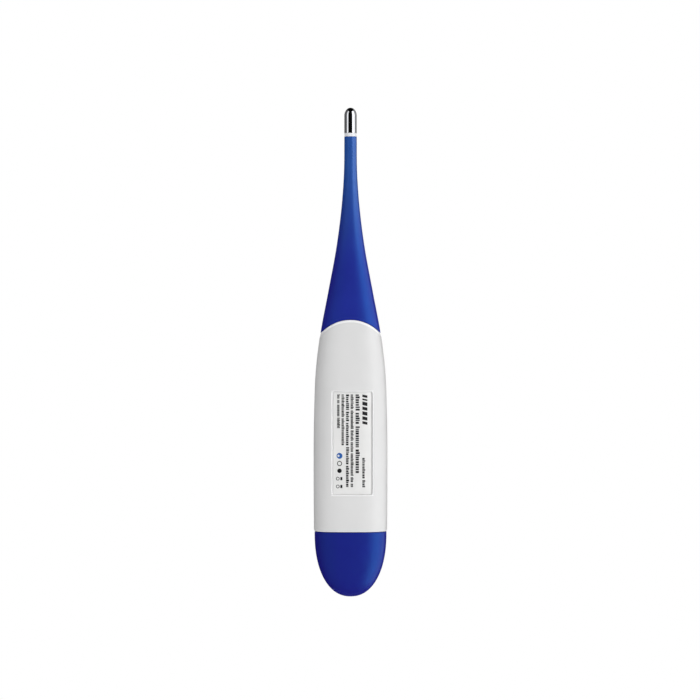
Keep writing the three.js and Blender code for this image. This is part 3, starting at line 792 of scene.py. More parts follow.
SPLIT_X = 3.0  # plain sections behind, sections that bend into the arch ahead
STATIONS = spaced(HOUSING_REAR_X + 0.5, SPLIT_X, STEP)
RIM_ROUND = ARCH_ROUND = 0.2
ARCH_RIM, REAR_RIM, RIM_DROP = 0.65, 0.35, 0.1  # shallow bevels along the two edges of the white housing
RIM_REACH = 0.88  # how near the outer form a face of those bevels lies
LENS_CENTRE, LENS_SIZE = plan_of(LENS_LOW, LENS_HIGH)
LENS_CORNER, LENS_GAP, LENS_EDGE = 2.0, 0.12, 0.2
LENS_SPAN, LENS_DEGREES = (LENS_LOW.x - 1.9, LENS_HIGH.x + 1.6), (39, 141)
LEDGE_Z, WINDOW_SIZE, WINDOW_CORNER = 10.45, (26.4, 8.2), 1.2
PAD_BOTTOM_Z, PAD_SIZE, PAD_CORNER = 8.9, (30.6, 13.0), 1.0
BUTTON_CENTRE = ((BUTTON_LOW.x + BUTTON_HIGH.x) / 2, 0.0)
BUTTON_SIZE, BUTTON_GAP, BUTTON_HOLE_EDGE = (11.0, 7.8), 0.2, 0.25
BUTTON_SPAN, BUTTON_DEGREES = (BUTTON_CENTRE[0] - 7.2, BUTTON_CENTRE[0] + 7.2), (45, 135)
LABEL_CENTRE, LABEL_SIZE = plan_of(LABEL_LOW, LABEL_HIGH)
LABEL_THICKNESS, LABEL_GAP = 0.1, 0.02
POCKET_MARGIN, POCKET_EDGE, POCKET_CORNER = 0.25, 0.3, 0.5
POCKET_FLOOR_Z, POCKET_FLOOR_CURVE = 0.57, 1.35  # height in the middle, and how far it follows the back
POCKET_LIP = 0.12  # faces this far below the floor belong to the pocket's rolled edge
POCKET_SPAN, POCKET_DEGREES = (LABEL_LOW.x - 1.6, LABEL_HIGH.x + 1.6), (219, 321)


def grown(size, margin):
    return [length + 2 * margin for length in size]


def on_highlighted_rim(centre):
    """True on the faces with a painted highlight: bevels beside the arch and the battery cover, and the
    pocket's rolled edge.
    """
    x, y, z = centre / MM
    exponent = power(x)
    reach = abs(y / half_width(x)) ** exponent + abs((z - AXIS_Z) / half_thickness(x)) ** exponent
    ahead = x > SPLIT_X and math.hypot(x - ARCH_CENTRE_X, y) > ARCH_RADIUS - ARCH_RIM
    behind = HOUSING_REAR_X < x < HOUSING_REAR_X + REAR_RIM
    margin = POCKET_MARGIN + POCKET_EDGE
    beside_x = LABEL_LOW.x - margin < x < LABEL_HIGH.x + margin
    beside_y = LABEL_LOW.y - margin < y < LABEL_HIGH.y + margin
    at_pocket = beside_x and beside_y and z < pocket_floor(x, y) - POCKET_LIP
    return at_pocket or (reach > RIM_REACH and (ahead or behind))


def pocket_floor(x, y):
    """Gently curved floor of the label's pocket."""
    return POCKET_FLOOR_Z + POCKET_FLOOR_CURVE * (back_z(x, y) - back_z(x, 0))


def label_z(x, y):
    """Height of the label's printed side, which faces down."""
    return pocket_floor(x, y) - LABEL_GAP - LABEL_THICKNESS


def housing():
    """White moulding: outside, nose, cavity and neck as one surface, with three openings."""
    seat = RoundedRectangle(LENS_CENTRE, grown(LENS_SIZE, LENS_GAP), LENS_CORNER + LENS_GAP)
    window = RoundedRectangle(LENS_CENTRE, WINDOW_SIZE, WINDOW_CORNER)
    pad = RoundedRectangle(LENS_CENTRE, PAD_SIZE, PAD_CORNER)
    button = Oval(BUTTON_CENTRE, grown(BUTTON_SIZE, BUTTON_GAP))
    pocket = RoundedRectangle(LABEL_CENTRE, grown(LABEL_SIZE, POCKET_MARGIN), POCKET_CORNER)
    lens_hole = Hole(seat, LENS_SPAN, LENS_DEGREES, 1)
    button_hole = Hole(button, BUTTON_SPAN, BUTTON_DEGREES, 1)
    pocket_hole = Hole(pocket, POCKET_SPAN, POCKET_DEGREES, -1)
    pad_hole = Hole(pad, LENS_SPAN, LENS_DEGREES, 1)

    build = Builder()
    rim = [shifted(body_ring(HOUSING_REAR_X, RIM_DROP + inset), dx) for dx, inset in rolled(RIM_ROUND, 4)]
    plain = [body_ring(x) for x in STATIONS]
    towards_arch = [arch_ring(i / ARCH_STEPS, SPLIT_X, -ARCH_RIM, 0) for i in range(1, ARCH_STEPS + 1)]
    edge = rolled(ARCH_ROUND, 5)
    arch_edge = [shifted(arch_ring(1, SPLIT_X, 0, RIM_DROP + inset), -back) for inset, back in edge]
    rings = rim + plain + towards_arch + arch_edge
    outer = grid_with_holes(build, rings, STATIONS, [lens_hole, button_hole, pocket_hole], len(rim))
    outer_plain = outer[len(rim) : len(rim) + len(STATIONS)]

    # Front face, nose, and the bore for the sensor leads
    nose = [body_ring(x, *NOSE_INSET) for x in (*NOSE_MIDDLE_X, NOSE_END_X)]
    bore = [round_section(x, ROOT_BORE) for x in (NOSE_END_X, FULL_X)]
    front = build.strip([nose_root(arch_x, NOSE_INSET), *nose, *bore])
    build.bridge(outer[-1], front[0])

    # Cavity, from the front to the neck, with the same stations as the outside
    cavity = [body_ring(x, WALL) for x in STATIONS[1:]]
    inner = grid_with_holes(build, cavity, STATIONS[1:], [pad_hole, button_hole], 0)
    build.bridge(build.onward(front[-1], body_ring(FULL_X, WALL)), inner[-1])

    # Neck with the seal's groove, back to the rear face
    chamfered = [half - NECK_CHAMFER for half in NECK]
    neck = [(HOUSING_REAR_X, NECK_BORE), (NECK_REAR_X, NECK_BORE), (NECK_REAR_X, chamfered)]
    neck += [(NECK_REAR_X + NECK_CHAMFER, NECK), (GROOVE_X[0], NECK), (GROOVE_X[0], GROOVE)]
    neck += [(GROOVE_X[1], GROOVE), (GROOVE_X[1], NECK), (HOUSING_REAR_X, NECK)]
    neck = build.strip([section(x, *half, FULL_POWER) for x, half in neck])
    build.bridge(inner[0], neck[0])
    build.bridge(neck[-1], outer[0])

    # Window: rolled edge, seat for the lens, ledge, opening, and the pad under it
    last, ring_at = sink_hole(build, lens_hole, outer_plain, STATIONS, front_z, LENS_EDGE)
    for outline, z in ((seat, LEDGE_Z), (window, LEDGE_Z), (window, PAD_BOTTOM_Z), (pad, PAD_BOTTOM_Z)):
        last = build.onward(last, ring_at(outline, z))
    pad_top, _ = sink_hole(build, pad_hole, inner, STATIONS[1:], ceiling_z, 0)
    build.bridge(last, pad_top)

    # Button hole, straight through
    last, _ = sink_hole(build, button_hole, outer_plain, STATIONS, front_z, BUTTON_HOLE_EDGE)
    inner_last, _ = sink_hole(build, button_hole, inner, STATIONS[1:], ceiling_z, 0)
    build.bridge(last, inner_last)

    # Label pocket
    last, ring_at = sink_hole(build, pocket_hole, outer_plain, STATIONS, back_z, POCKET_EDGE)
    build.face(build.onward(last, ring_at(pocket, pocket_floor)))

    made = build.make("housing_moulding", WHITE_PLASTIC, WHITE_RIM_HIGHLIGHT)
    # Faces on those rims take the brighter white, a painted highlight
    for face in made.data.polygons:
        face.material_index = int(on_highlighted_rim(face.center))
    place(made, "handle", "white_shell", "housing_shell")


# ---- Flexible probe ----

SEAM_GAP = 0.07  # visible line between the blue probe and the white housing
SEAM_LIP, SEAM_ROUND = 0.03, 0.14  # how far the probe sits in there, and its rounded edge
AFTER_SEAM = 0.96  # how near the arch the first ring after that edge lies
SOCKET_GAP = 0.3  # between the nose and the socket that it fills
TIP_ROUND, SPIGOT_RADIUS = 0.1, 1.3
ROOT_STEP, NECK_STEP = 0.7, 0.3


def probe_skins():
    """The soft probe, as two skins: one from the housing's arch to the seam, the other from the seam to the
    tip.
    """
    plain_x, socket_x = NOSE_MIDDLE_X[0], NOSE_END_X + SOCKET_GAP
    edge = rolled(SEAM_ROUND, 4)[:-1]
    rings = [shifted(arch_ring(1, plain_x, SEAM_GAP, SEAM_LIP + inset), dx) for dx, inset in edge]
    for i in range(ARCH_STEPS):
        share = AFTER_SEAM * (1 - i / ARCH_STEPS)
        rings.append(arch_ring(share, plain_x, SEAM_GAP, SEAM_LIP * (1 - i / ARCH_STEPS)))
    along = spaced(plain_x, BEND_ZONE[0], ROOT_STEP)[:-1] + spaced(*BEND_ZONE, NECK_STEP)
    rings += [body_ring(x) for x in along]
    bore = [*(x for x in reversed(along) if x > socket_x), socket_x]
    rings += [round_section(x, STEM_BORE) for x in bore]
    socket = [inset - SOCKET_GAP for inset in NOSE_INSET]
    rings += [body_ring(x, *socket) for x in (socket_x, *reversed(NOSE_MIDDLE_X))]
    rings.append(nose_root(lambda y: arch_x(y, SEAM_GAP), socket))
    build = Builder()
    build.strip(rings, closed=True)
    root = build.make("probe_root_skin", BLUE_RUBBER)
    bend(root, "handle", "flex_link", BEND_ZONE, "blue_rubber", "probe_root", "probe_flex")

    shoulder = PROBE_END_X - TIP_ROUND
    along = spaced(SKIN_SEAM_X, shoulder, NECK_STEP)
    rings = [body_ring(x) for x in along]
    edge = rolled(TIP_ROUND, 4)[1:]
    rings += [shifted(body_ring(shoulder, inset), TIP_ROUND - back) for inset, back in edge]
    spigot_x = (PROBE_END_X, box_mm("adhesive_ring")[1].x, SPIGOT_END_X)
    rings += [round_section(x, SPIGOT_RADIUS) for x in spigot_x]
    rings += [round_section(x, STEM_BORE) for x in (SPIGOT_END_X, PROBE_END_X, *reversed(along[:-1]))]
    build = Builder()
    build.strip(rings, closed=True)
    stem = build.make("probe_stem_skin", BLUE_RUBBER)
    bend(stem, "flex_link", "sensor_tip", SWAY_ZONE, "blue_rubber", "probe_stem")


# ---- Sensor ----

CAP_RIM_ROUND = 0.06
BEAD_PROUD, BEAD_WAIST, BEAD_INNER = 0.03, 0.05, 1.36
TURNED_AROUND = 96


def turned(name, profile, material, closed=False):
    """Solid of revolution about the probe's axis through (x, radius) points. Ends on the axis are closed."""
    build = Builder()
    rings = [round_section(x, radius, TURNED_AROUND) for x, radius in profile if radius > 0]
    made = build.strip(rings, closed)
    for (x, radius), ring in ((profile[0], made[0]), (profile[-1], made[-1])):
        if radius == 0:
            build.fan(ring, Vector((x, 0, AXIS_Z)))
    return build.make(name, material)


def sensor_cap():
    """Drawn steel cap with a slightly pointed nose, and the adhesive bead behind it."""
    radius = (CAP_HIGH.y - CAP_LOW.y) / 2
    centre = CAP_HIGH.x - CAP_NOSE
    nose = [(centre + CAP_NOSE * math.cos(angle), radius * math.sin(angle)) for angle in quarter(24)]
    rim = [(CAP_LOW.x + ahead, radius - inward) for inward, ahead in rolled(CAP_RIM_ROUND, 4)]
    inner, depth = radius - CAP_WALL, CAP_NOSE - CAP_WALL
    hollow = [(centre + depth * math.cos(angle), inner * math.sin(angle)) for angle in reversed(quarter(12))]
    profile = [(CAP_HIGH.x, 0), *nose[1:], *rim, (CAP_LOW.x, inner), *hollow[:-1], (centre + depth, 0)]
    place(turned("sensor_cap", profile, STEEL), "sensor_tip", "steel", "probe_cap")

    low, high = box_mm("adhesive_ring")
    middle, outer = (low.x + high.x) / 2, (high.y - low.y) / 2 + BEAD_PROUD
    half = (high.x - low.x) / 2 + BEAD_PROUD
    angles = [math.pi * i / 10 for i in range(11)]
    profile = [(middle + half * math.cos(angle), outer - BEAD_WAIST * math.sin(angle)) for angle in angles]
    profile += [(middle - half, BEAD_INNER), (middle + half, BEAD_INNER)]
    ring = turned("adhesive_bead", profile, adhesive_material(), closed=True)
    place(ring, "sensor_tip", "adhesive", "adhesive_ring")


# ---- Battery cover ----

COVER_EDGE = 0.15
COVER_REACH = 0.18  # how far its mouth reaches past the CAD's, towards the housing


def cover_ring(x, inset, end_gap):
    run = COVER_STRAIGHT_X - (TAIL_X + end_gap)
    along = min(1.0, max(0.0, (COVER_STRAIGHT_X - x) / run))
    share = (1 - along**COVER_POWER) ** (1 / COVER_POWER)
    return section(x, *[(half - inset) * share for half in COVER_HALF], FULL_POWER)


def cover_rings(inset, end_gap, steps):
    """Rings that close up towards the rounded end, from the straight rim to the end."""
    run = COVER_STRAIGHT_X - (TAIL_X + end_gap)
    stations = [COVER_STRAIGHT_X - run * math.cos(math.pi / 2 * i / steps) for i in range(1, steps + 1)]
    return [cover_ring(x, inset, end_gap) for x in stations]


def battery_cover():
    mouth = box_mm("battery_cover")[1].x + COVER_REACH
    rings = cover_rings(0, 0, 44)
    for inward, back in rolled(COVER_EDGE, 4):
        rings.append(section(mouth - back, *[half - inward for half in COVER_HALF], FULL_POWER))
    rings.append(section(mouth, *[half - COVER_WALL for half in COVER_HALF], FULL_POWER))
    rings += reversed(cover_rings(COVER_WALL, COVER_END_GAP, 24))
    build = Builder()
    made = build.strip(rings)
    build.fan(made[0], Vector((TAIL_X, 0, AXIS_Z)))
    build.fan(made[-1], Vector((TAIL_X + COVER_END_GAP, 0, AXIS_Z)))
    place(build.make("battery_cap", BLUE_PLASTIC), "battery_cover", "blue_cover", "battery_cover")


# ---- Display, button and label ----

LENS_RECESS, LENS_ROUND = 0.08, 0.15
BORDER_MARGIN, BORDER_Z = 0.15, (LENS_LOW.z - 0.1, LENS_LOW.z - 0.03)
BORDER_OPENING, BORDER_CORNER = (WINDOW_SIZE[0] - 1.0, WINDOW_SIZE[1] - 0.8), 0.9

# Segments lit for each digit, of the seven from a to g
SEGMENTS = {"3": "abcdg", "6": "acdefg"}
READING = "366"
DIGIT_HEIGHT, DIGIT_WIDTH, DIGIT_PITCH, DIGIT_SLANT = 4.5, 2.5, 4.2, 0.08
BAR_WIDTH, BAR_TAPER, BAR_GAP, BAR_THICKNESS, BAR_LIFT = 0.54, 0.6, 0.12, 0.02, 0.03
READING_SHIFT, POINT_ROOM = 1.2, 0.9  # room for the decimal point before the last digit
POINT_PLACE, POINT_RADIUS = (0.45, 0.1), 0.36
DEGREE_PLACE, DEGREE_RADIUS, DEGREE_HOLE = (3.2, 0.55), 0.6, 0.3


def display():
    """Clear window with the border printed under it, and the display's segments."""

    def lens_top(x, y):
        return front_z(x, y) - LENS_RECESS

    outline = RoundedRectangle(LENS_CENTRE, LENS_SIZE, LENS_CORNER)
    foot = LENS_ROUND / 2
    rings = [outline_ring(outline, LENS_LOW.z, -foot), outline_ring(outline, LENS_LOW.z + foot)]
    rings += crowned_rings(outline, lens_top, LENS_ROUND, 5, 10)
    lens = topped("window_lens", clear_material(), outline, rings, lens_top)
    place(lens, "handle", "clear_window", "display_lens")

    build = Builder()
    border = RoundedRectangle(LENS_CENTRE, grown(LENS_SIZE, -BORDER_MARGIN), LENS_CORNER - BORDER_MARGIN)
    opening = RoundedRectangle(LENS_CENTRE, BORDER_OPENING, BORDER_CORNER)
    low, high = BORDER_Z
    corners = ((border, low), (border, high), (opening, high), (opening, low))
    build.strip([outline_ring(edge, z) for edge, z in corners], closed=True)
    place(build.make("lens_border", BLUE_PLASTIC), "handle", "blue_cover")
    lcd_segments()


def lcd_segments():
    """Lit and unlit segments. The digits stand upright when the probe points left."""
    glass_low, glass_high = box_mm("lcd_front_glass")
    lit, unlit = Builder(), Builder()
    low = glass_high.z + BAR_LIFT - BAR_THICKNESS
    side, top = DIGIT_WIDTH / 2, DIGIT_HEIGHT / 2
    ends = {
        "a": ((-side, top), (side, top)),
        "b": ((side, top), (side, 0)),
        "c": ((side, 0), (side, -top)),
        "d": ((-side, -top), (side, -top)),
        "e": ((-side, 0), (-side, -top)),
        "f": ((-side, top), (-side, 0)),
        "g": ((-side, 0), (side, 0)),
    }

    def bar(build, start, end, origin):
        """Flat bar with pointed ends between two points of a digit, given to its right and upwards."""
        start, end = Vector(start), Vector(end)
        run = (end - start).normalized()
        out = Vector((-run.y, run.x)) * (BAR_WIDTH / 2)
        near, far = start + run * (BAR_WIDTH * BAR_TAPER), end - run * (BAR_WIDTH * BAR_TAPER)
        tips = [start + run * BAR_GAP, near + out, far + out, end - run * BAR_GAP, far - out, near - out]
        under = [Vector((origin - (tip.x + tip.y * DIGIT_SLANT), -tip.y, low)) for tip in tips]
        build.solid([under, shifted(under, dz=BAR_THICKNESS)])

    middle_x = (glass_low.x + glass_high.x) / 2 + READING_SHIFT
    for index, digit in enumerate(READING):
        origin = middle_x - (index - 1) * DIGIT_PITCH - (POINT_ROOM if index == 2 else 0)
        for name, (start, end) in ends.items():
            bar(lit if name in SEGMENTS[digit] else unlit, start, end, origin)
    x, y = middle_x - 0.5 * DIGIT_PITCH - POINT_PLACE[0], top - POINT_PLACE[1]
    lit.disc((x, y), POINT_RADIUS, low, BAR_THICKNESS)
    x, y = middle_x - DIGIT_PITCH - DEGREE_PLACE[0], -top + DEGREE_PLACE[1]
    lit.disc((x, y), DEGREE_RADIUS, low, BAR_THICKNESS, DEGREE_HOLE)
    place(lit.make("lcd_lit_segments", LCD_DARK), "handle", "lcd_glass")
    faint = moulded("lcd_unlit", srgb(150, 160, 142), 0.35, 0.3, 0.001, 0.02)
    place(unlit.make("lcd_unlit_segments", faint), "handle", "lcd_glass")


BUTTON_PROUD, BUTTON_EDGE, BUTTON_PER_SIDE = 0.35, 0.55, 24
DISH_DEPTH, DISH_REACH = 0.22, (3.4, 2.3)
FLANGE_SIZE, FLANGE_Z, STEM_RADIUS = (13.2, 9.8), (9.4, 10.0), 1.6
MARK_RADIUS, MARK_WEIGHT, MARK_LIFT, MARK_DEPTH = 1.25, 0.16, 0.015, 0.03
MARK_OPENING = math.radians(38)  # half of the gap in the ring


def button_top(x, y):
    reach_x, reach_y = DISH_REACH
    dish = DISH_DEPTH * math.exp(-(((x - BUTTON_CENTRE[0]) / reach_x) ** 2) - (y / reach_y) ** 2)
    return front_z(x, y) + BUTTON_PROUD - dish


def power_button():
    """Soft button with a dished top, its flange and stem, and the on/off mark printed in the dish."""
    outline, flange = Oval(BUTTON_CENTRE, BUTTON_SIZE), Oval(BUTTON_CENTRE, FLANGE_SIZE)
    stem = circle(BUTTON_CENTRE, STEM_RADIUS)
    low, high = FLANGE_Z
    levels = ((stem, BUTTON_LOW.z), (stem, low), (flange, low), (flange, high), (outline, high))
    rings = [outline_ring(edge, z, 0, BUTTON_PER_SIDE) for edge, z in levels]
    rings += crowned_rings(outline, button_top, BUTTON_EDGE, 6, 16, BUTTON_PER_SIDE)
    button = topped("button_moulding", BLUE_RUBBER, outline, rings, button_top)
    place(button, "power_button", "blue_rubber", "power_button")

    mark = Builder()

    def line(points):
        pairs = []
        for i, (x, y) in enumerate(points):
            before, after = points[max(0, i - 1)], points[min(len(points) - 1, i + 1)]
            across = Vector((before[1] - after[1], after[0] - before[0])).normalized() * MARK_WEIGHT
            sides = ((x + across.x, y + across.y), (x - across.x, y - across.y))
            pairs.append(shifted([at_height(*side, button_top) for side in sides], dz=MARK_LIFT))
        mark.ribbon(pairs, -MARK_DEPTH)

    sweep = 2 * math.pi - 2 * MARK_OPENING
    angles = [-math.pi / 2 + MARK_OPENING + sweep * i / 36 for i in range(37)]
    middle_x = BUTTON_CENTRE[0]
    line([(middle_x + MARK_RADIUS * math.cos(angle), MARK_RADIUS * math.sin(angle)) for angle in angles])
    line([(middle_x, -MARK_RADIUS + 0.25 * i) for i in range(-1, 5)])
    place(mark.make("button_mark", INK_WHITE), "power_button", "blue_rubber")


# The label's print, line by line: share of the width from the -Y edge, then in millimetres the letter height,
# where the line starts and ends, and the stroke weight
PRINT_LINES = [
    (0.135, 0.80, 0.0, 9.8, 0.16),
    (0.25, 0.80, 0.0, 14.4, 0.2),
    (0.37, 0.84, 0.0, 26.4, 0.28),
    (0.49, 0.80, 0.0, 26.4, 0.19),
    (0.635, 1.14, 0.0, 22.3, 0.34),
    (0.795, 0.80, 17.8, 26.4, 0.27),
]
PRINT_SEED = 7
PRINT_SINK, PRINT_THICKNESS = 0.03, 0.02
PRINT_X = LABEL_HIGH.x - 0.5  # where the lines start
HEADING_SHARES = (0.76, 0.89)
HEADING_BLOCKS = (0.55, 0.35, 0.8, 0.7, 0.8, 0.75, 0.6)  # widths, as shares of the widest
HEADING_WIDTH, HEADING_GAP, HEADING_SLANT = 1.25, 0.42, 0.3
LABEL_GROW, LABEL_CORNER, LABEL_EDGE = 0.17, 0.3, 0.03


def rating_label():
    """Printed film. Strokes laid in lines stand for its text: they are shapes, not letters."""
    outline = RoundedRectangle(LABEL_CENTRE, grown(LABEL_SIZE, LABEL_GROW), LABEL_CORNER)
    back = LABEL_THICKNESS
    levels = ((back, -LABEL_EDGE), (back - LABEL_EDGE, 0), (LABEL_EDGE, 0), (0, -LABEL_EDGE))
    rings = [outline_ring(outline, lambda x, y: label_z(x, y) + lift, grow) for lift, grow in levels]
    rings += [shrunk_ring(outline, label_z, i / 12) for i in range(1, 12)]
    film = topped("label_film", label_material(), outline, rings, label_z)
    place(film, "handle", "label_paper", "rating_label")

    ink, dots = Builder(), Builder()

    def across(share):
        return LABEL_LOW.y + share * LABEL_SIZE[1]

    def print_z(x, y):
        return label_z(x, y) - PRINT_SINK

    def stroke(x0, x1, y0, y1, slant=0.0):
        """Thin raised block that follows the film across it."""
        pairs = []
        for share in spaced(0, 1, 0.25):
            y = y0 + (y1 - y0) * share
            pairs.append([at_height(x - slant * share, y, print_z) for x in (x0, x1)])
        ink.ribbon(pairs, PRINT_THICKNESS)

    state = PRINT_SEED

    def draw():
        """Next number from 0 to 1 of a fixed sequence."""
        nonlocal state
        state = (state * 16807) % 2147483647
        return state / 2147483647

    for share, height, start, end, weight in PRINT_LINES:
        foot = across(share) - height / 2
        x = PRINT_X - start
        left_in_word = 4 + int(draw() * 6)
        while x > PRINT_X - end + 0.5 * height:
            if left_in_word == 0:
                x -= 0.4 * height
                left_in_word = 3 + int(draw() * 7)
                continue
            tall = height * (1.0 if draw() > 0.7 else 0.8)
            thick = weight * (0.9 + 1.0 * draw())
            stroke(x - thick, x, foot, foot + tall)
            x -= thick + weight * (0.38 + 0.34 * draw())
            left_in_word -= 1 if draw() > 0.5 else 0

    # Heading: a row of plain slanted blocks
    x = PRINT_X
    for share in HEADING_BLOCKS:
        wide = HEADING_WIDTH * share
        stroke(x - wide, x, *[across(edge) for edge in HEADING_SHARES], HEADING_SLANT)
        x -= wide + HEADING_GAP

    # Row of plain marks beside the shorter lines
    def mark(build, along, share, radius, hole=0.0, hole_shift=0.0):
        build.disc((PRINT_X - along, across(share)), radius, print_z, PRINT_THICKNESS, hole, hole_shift)

    mark(dots, 17.2, 0.16, 0.82, 0.3, -0.28)
    mark(ink, 19.35, 0.16, 0.7, 0.5)
    mark(ink, 21.4, 0.16, 0.62)
    for along in (23.6, 25.8):
        mark(ink, along, 0.115, 0.5, 0.34)
        x, y = PRINT_X - along, across(0.215)
        stroke(x - 0.45, x + 0.45, y - 0.35, y + 0.2)
    place(ink.make("label_print", INK), "handle", "label_paper")
    place(dots.make("label_mark", INK_BLUE), "handle", "label_paper")


# ---- Inner pieces ----


def seal():
    """Rubber ring laid in the neck's groove."""
    low, high = box_mm("sealing_ring")
    radius = (high.x - low.x) / 2
    wide, thick = (high.y - low.y) / 2 - radius, (high.z - low.z) / 2 - radius
    path = section((low.x + high.x) / 2, wide, thick, FULL_POWER)
    rings = []
    for angle in full_turn(16):
        ring, along = [], Vector((radius * math.sin(angle), 0, 0))
        for i, point in enumerate(path):
            before, after = path[i - 1], path[(i + 1) % len(path)]
            outward = Vector((0, after.z - before.z, before.y - after.y)).normalized()
            ring.append(point + outward * radius * math.cos(angle) + along)
        rings.append(ring)
    build = Builder()
    build.strip(rings, closed=True)
    place(build.make("neck_seal", SEAL_RUBBER), "handle", "seal_rubber", "sealing_ring")


def upright(name, centre, profile, material, closed=False):
    """Solid of revolution about an upright axis through (radius, z) points. Its ends are flat, or joined."""
    build = Builder()
    rings = [outline_ring(circle(centre, radius), z, 0, 20) for radius, z in profile]
    if closed:
        build.strip(rings, closed=True)
    else:
        build.solid(rings)
    return build.make(name, material)


CELL_EDGE, CELL_FOOT, CELL_RECESS = 0.3, 0.2, 3.5
CELL_FOOT_START, CELL_FOOT_RISE = 0.25, 0.9  # where the foot's curve leaves the side, and how it is squashed
CELL_CAP_ROUND, CELL_CAP_DIMPLE = 0.12, 0.04
DIMPLE_RIM, DIMPLE_FLOOR, CAP_CENTRE = 0.55, 0.5, 0.3  # two shares of the cap's radius, and a radius
GASKET_LIP, GASKET_ROUND = 0.05, 0.06


def button_cell():
    """The can with its rolled edges, the cap and the gasket between them."""
    low, high = box_mm("cell_can")
    cap_low, cap_high = box_mm("cell_cap")
    gasket_low, gasket_high = box_mm("cell_gasket")
    centre, radius = ((low.x + high.x) / 2, 0.0), (high.x - low.x) / 2
    profile = [(radius - inward, high.z - down) for inward, down in reversed(rolled(CELL_EDGE, 5))]
    profile += [(radius, low.z + CELL_FOOT_START)]
    foot = rolled(CELL_FOOT, 4)
    profile += [(radius - CELL_FOOT + back, low.z + CELL_FOOT_RISE * up) for up, back in foot]
    profile += [(CELL_RECESS, low.z), (CELL_RECESS, gasket_high.z + GASKET_LIP)]
    can = upright("cell_can_turned", centre, profile, CELL_STEEL)
    place(can, "button_cell", "steel", "cell_can")

    cap_radius = (cap_high.x - cap_low.x) / 2
    profile = [(cap_radius, cap_high.z)]
    profile += [(cap_radius - inward, cap_low.z + up) for inward, up in rolled(CELL_CAP_ROUND, 4)]
    dimple_z = cap_low.z + CELL_CAP_DIMPLE
    profile += [(cap_radius * DIMPLE_RIM, cap_low.z), (cap_radius * DIMPLE_FLOOR, dimple_z)]
    profile += [(CAP_CENTRE, dimple_z)]
    place(upright("cell_cap_turned", centre, profile, CELL_STEEL), "button_cell", "steel", "cell_cap")

    outer, inner = (gasket_high.x - gasket_low.x) / 2, cap_radius + GASKET_LIP
    top, bottom = gasket_high.z, gasket_low.z
    profile = [(outer, top), (outer, bottom + GASKET_LIP), (outer - GASKET_ROUND, bottom)]
    profile += [(inner + GASKET_ROUND, bottom), (inner, bottom + GASKET_LIP), (inner, top)]
    gasket = upright("cell_gasket_ring", centre, profile, GASKET_RUBBER, closed=True)
    place(gasket, "button_cell", "gasket", "cell_gasket")


WIRE_RADIUS, WIRE_Y, PAD_Y, WIRE_RUN = 0.18, 0.4, 0.8, 4.0  # a lead runs in from its pad to beside the axis


def lead_wires():
    """The two sensor leads, each in two lengths that meet where the probe's two skins do."""
    around = [(WIRE_RADIUS * math.cos(angle), WIRE_RADIUS * math.sin(angle)) for angle in full_turn(12)]
    for name, side, material, slot in (
        ("lead_wire_a", 1, WIRE_RED, "wire_red"),
        ("lead_wire_b", -1, WIRE_BLACK, "wire_black"),
    ):
        low, high = box_mm(name)
        start_z = low.z + WIRE_RADIUS
        for part, start, end, first, second, zone in (
            ("inner", low.x, SKIN_SEAM_X, "handle", "flex_link", BEND_ZONE),
            ("outer", SKIN_SEAM_X, high.x, "flex_link", "sensor_tip", SWAY_ZONE),
        ):
            rings = []
            for x in spaced(start, end, STEP):
                share = eased(x, low.x, low.x + WIRE_RUN)
                y, z = side * (PAD_Y + (WIRE_Y - PAD_Y) * share), start_z + (AXIS_Z - start_z) * share
                rings.append([Vector((x, y + dy, z + dz)) for dy, dz in around])
            build = Builder()
            build.solid(rings)
            bend(build.make(f"{name}_{part}", material), first, second, zone, slot, name)


def finish_cad_nodes():
    """Materials for the CAD pieces that are shown as they are."""
    looks = {
        "lcd_front_glass": lcd_material(),
        "lcd_rear_glass": lcd_material(),
        "lcd_reflector": REFLECTOR,
        "lcd_holder": HOLDER_PLASTIC,
        "zebra_strip": zebra_material(),
        "circuit_board": board_material(),
        "chip_blob": RESIN,
        "chip_resistor_1": RESIN,
        "chip_resistor_2": RESIN,
        "chip_capacitor_1": CHIP_CERAMIC,
        "chip_capacitor_2": CHIP_CERAMIC,
        "solder_joint_a": SOLDER,
        "solder_joint_b": SOLDER,
        "switch_base": SWITCH_PLASTIC,
        "switch_plunger": SWITCH_PLASTIC,
        "switch_cover_plate": CONTACT_METAL,
        "positive_contact": CONTACT_METAL,
        "negative_contact": CONTACT_METAL,
        "buzzer_disc": BRASS,
        "buzzer_ceramic": PIEZO_CERAMIC,
        "buzzer_wire_a": WIRE_RED,
        "buzzer_wire_b": WIRE_BLACK,
        "battery_tray": TRAY_PLASTIC,
        "thermistor_bead": bead_material(),
    }
    for name, material in looks.items():
        node = frame["nodes"][name]
        node.data.materials.clear()
        node.data.materials.append(material)


# ---- Stage, light and camera ----

CAMERA_CENTRE = Vector((0.00058, -0.00015, AXIS_Z * MM))
CAMERA_DISTANCE, PICTURE_SPAN = 0.8, 0.1977  # metres, the span across the picture at the object
LIGHT_DISTANCE, LIGHT_LENGTH = 0.6, 1.6
LAMP_WATTS = 4  # lamp power for each square metre, at a strength of one
FLOOR_SIZE = 6.0
SKY_BELOW, SKY_ABOVE, SKY_IN_MIRRORS = 0.52, 0.02, 0.01
OVERHEAD, OVERHEAD_SIZE, OVERHEAD_STRENGTH = (0.65, 0, 0.55), (0.9, 0.9), 2.0


def area_light(name, location, target, size, strength):
    data = bpy.data.lights.new(name, "AREA")
    data.shape = "RECTANGLE"
    data.size, data.size_y = size
    data.energy = LAMP_WATTS * strength * size[0] * size[1]
    light = bpy.data.objects.new(name, data)
    bpy.context.scene.collection.objects.link(light)
    light.location = location
    light.rotation_euler = (Vector(target) - Vector(location)).to_track_quat("-Z", "Y").to_euler()
    light.visible_camera = False
    return light


def stage():
    bpy.ops.mesh.primitive_plane_add(size=FLOOR_SIZE, location=(0, 0, 0))
    floor = bpy.context.active_object
    floor.name = "floor"
    floor.data.materials.append(floor_material())
    floor.visible_diffuse = floor.visible_glossy = floor.visible_shadow = False


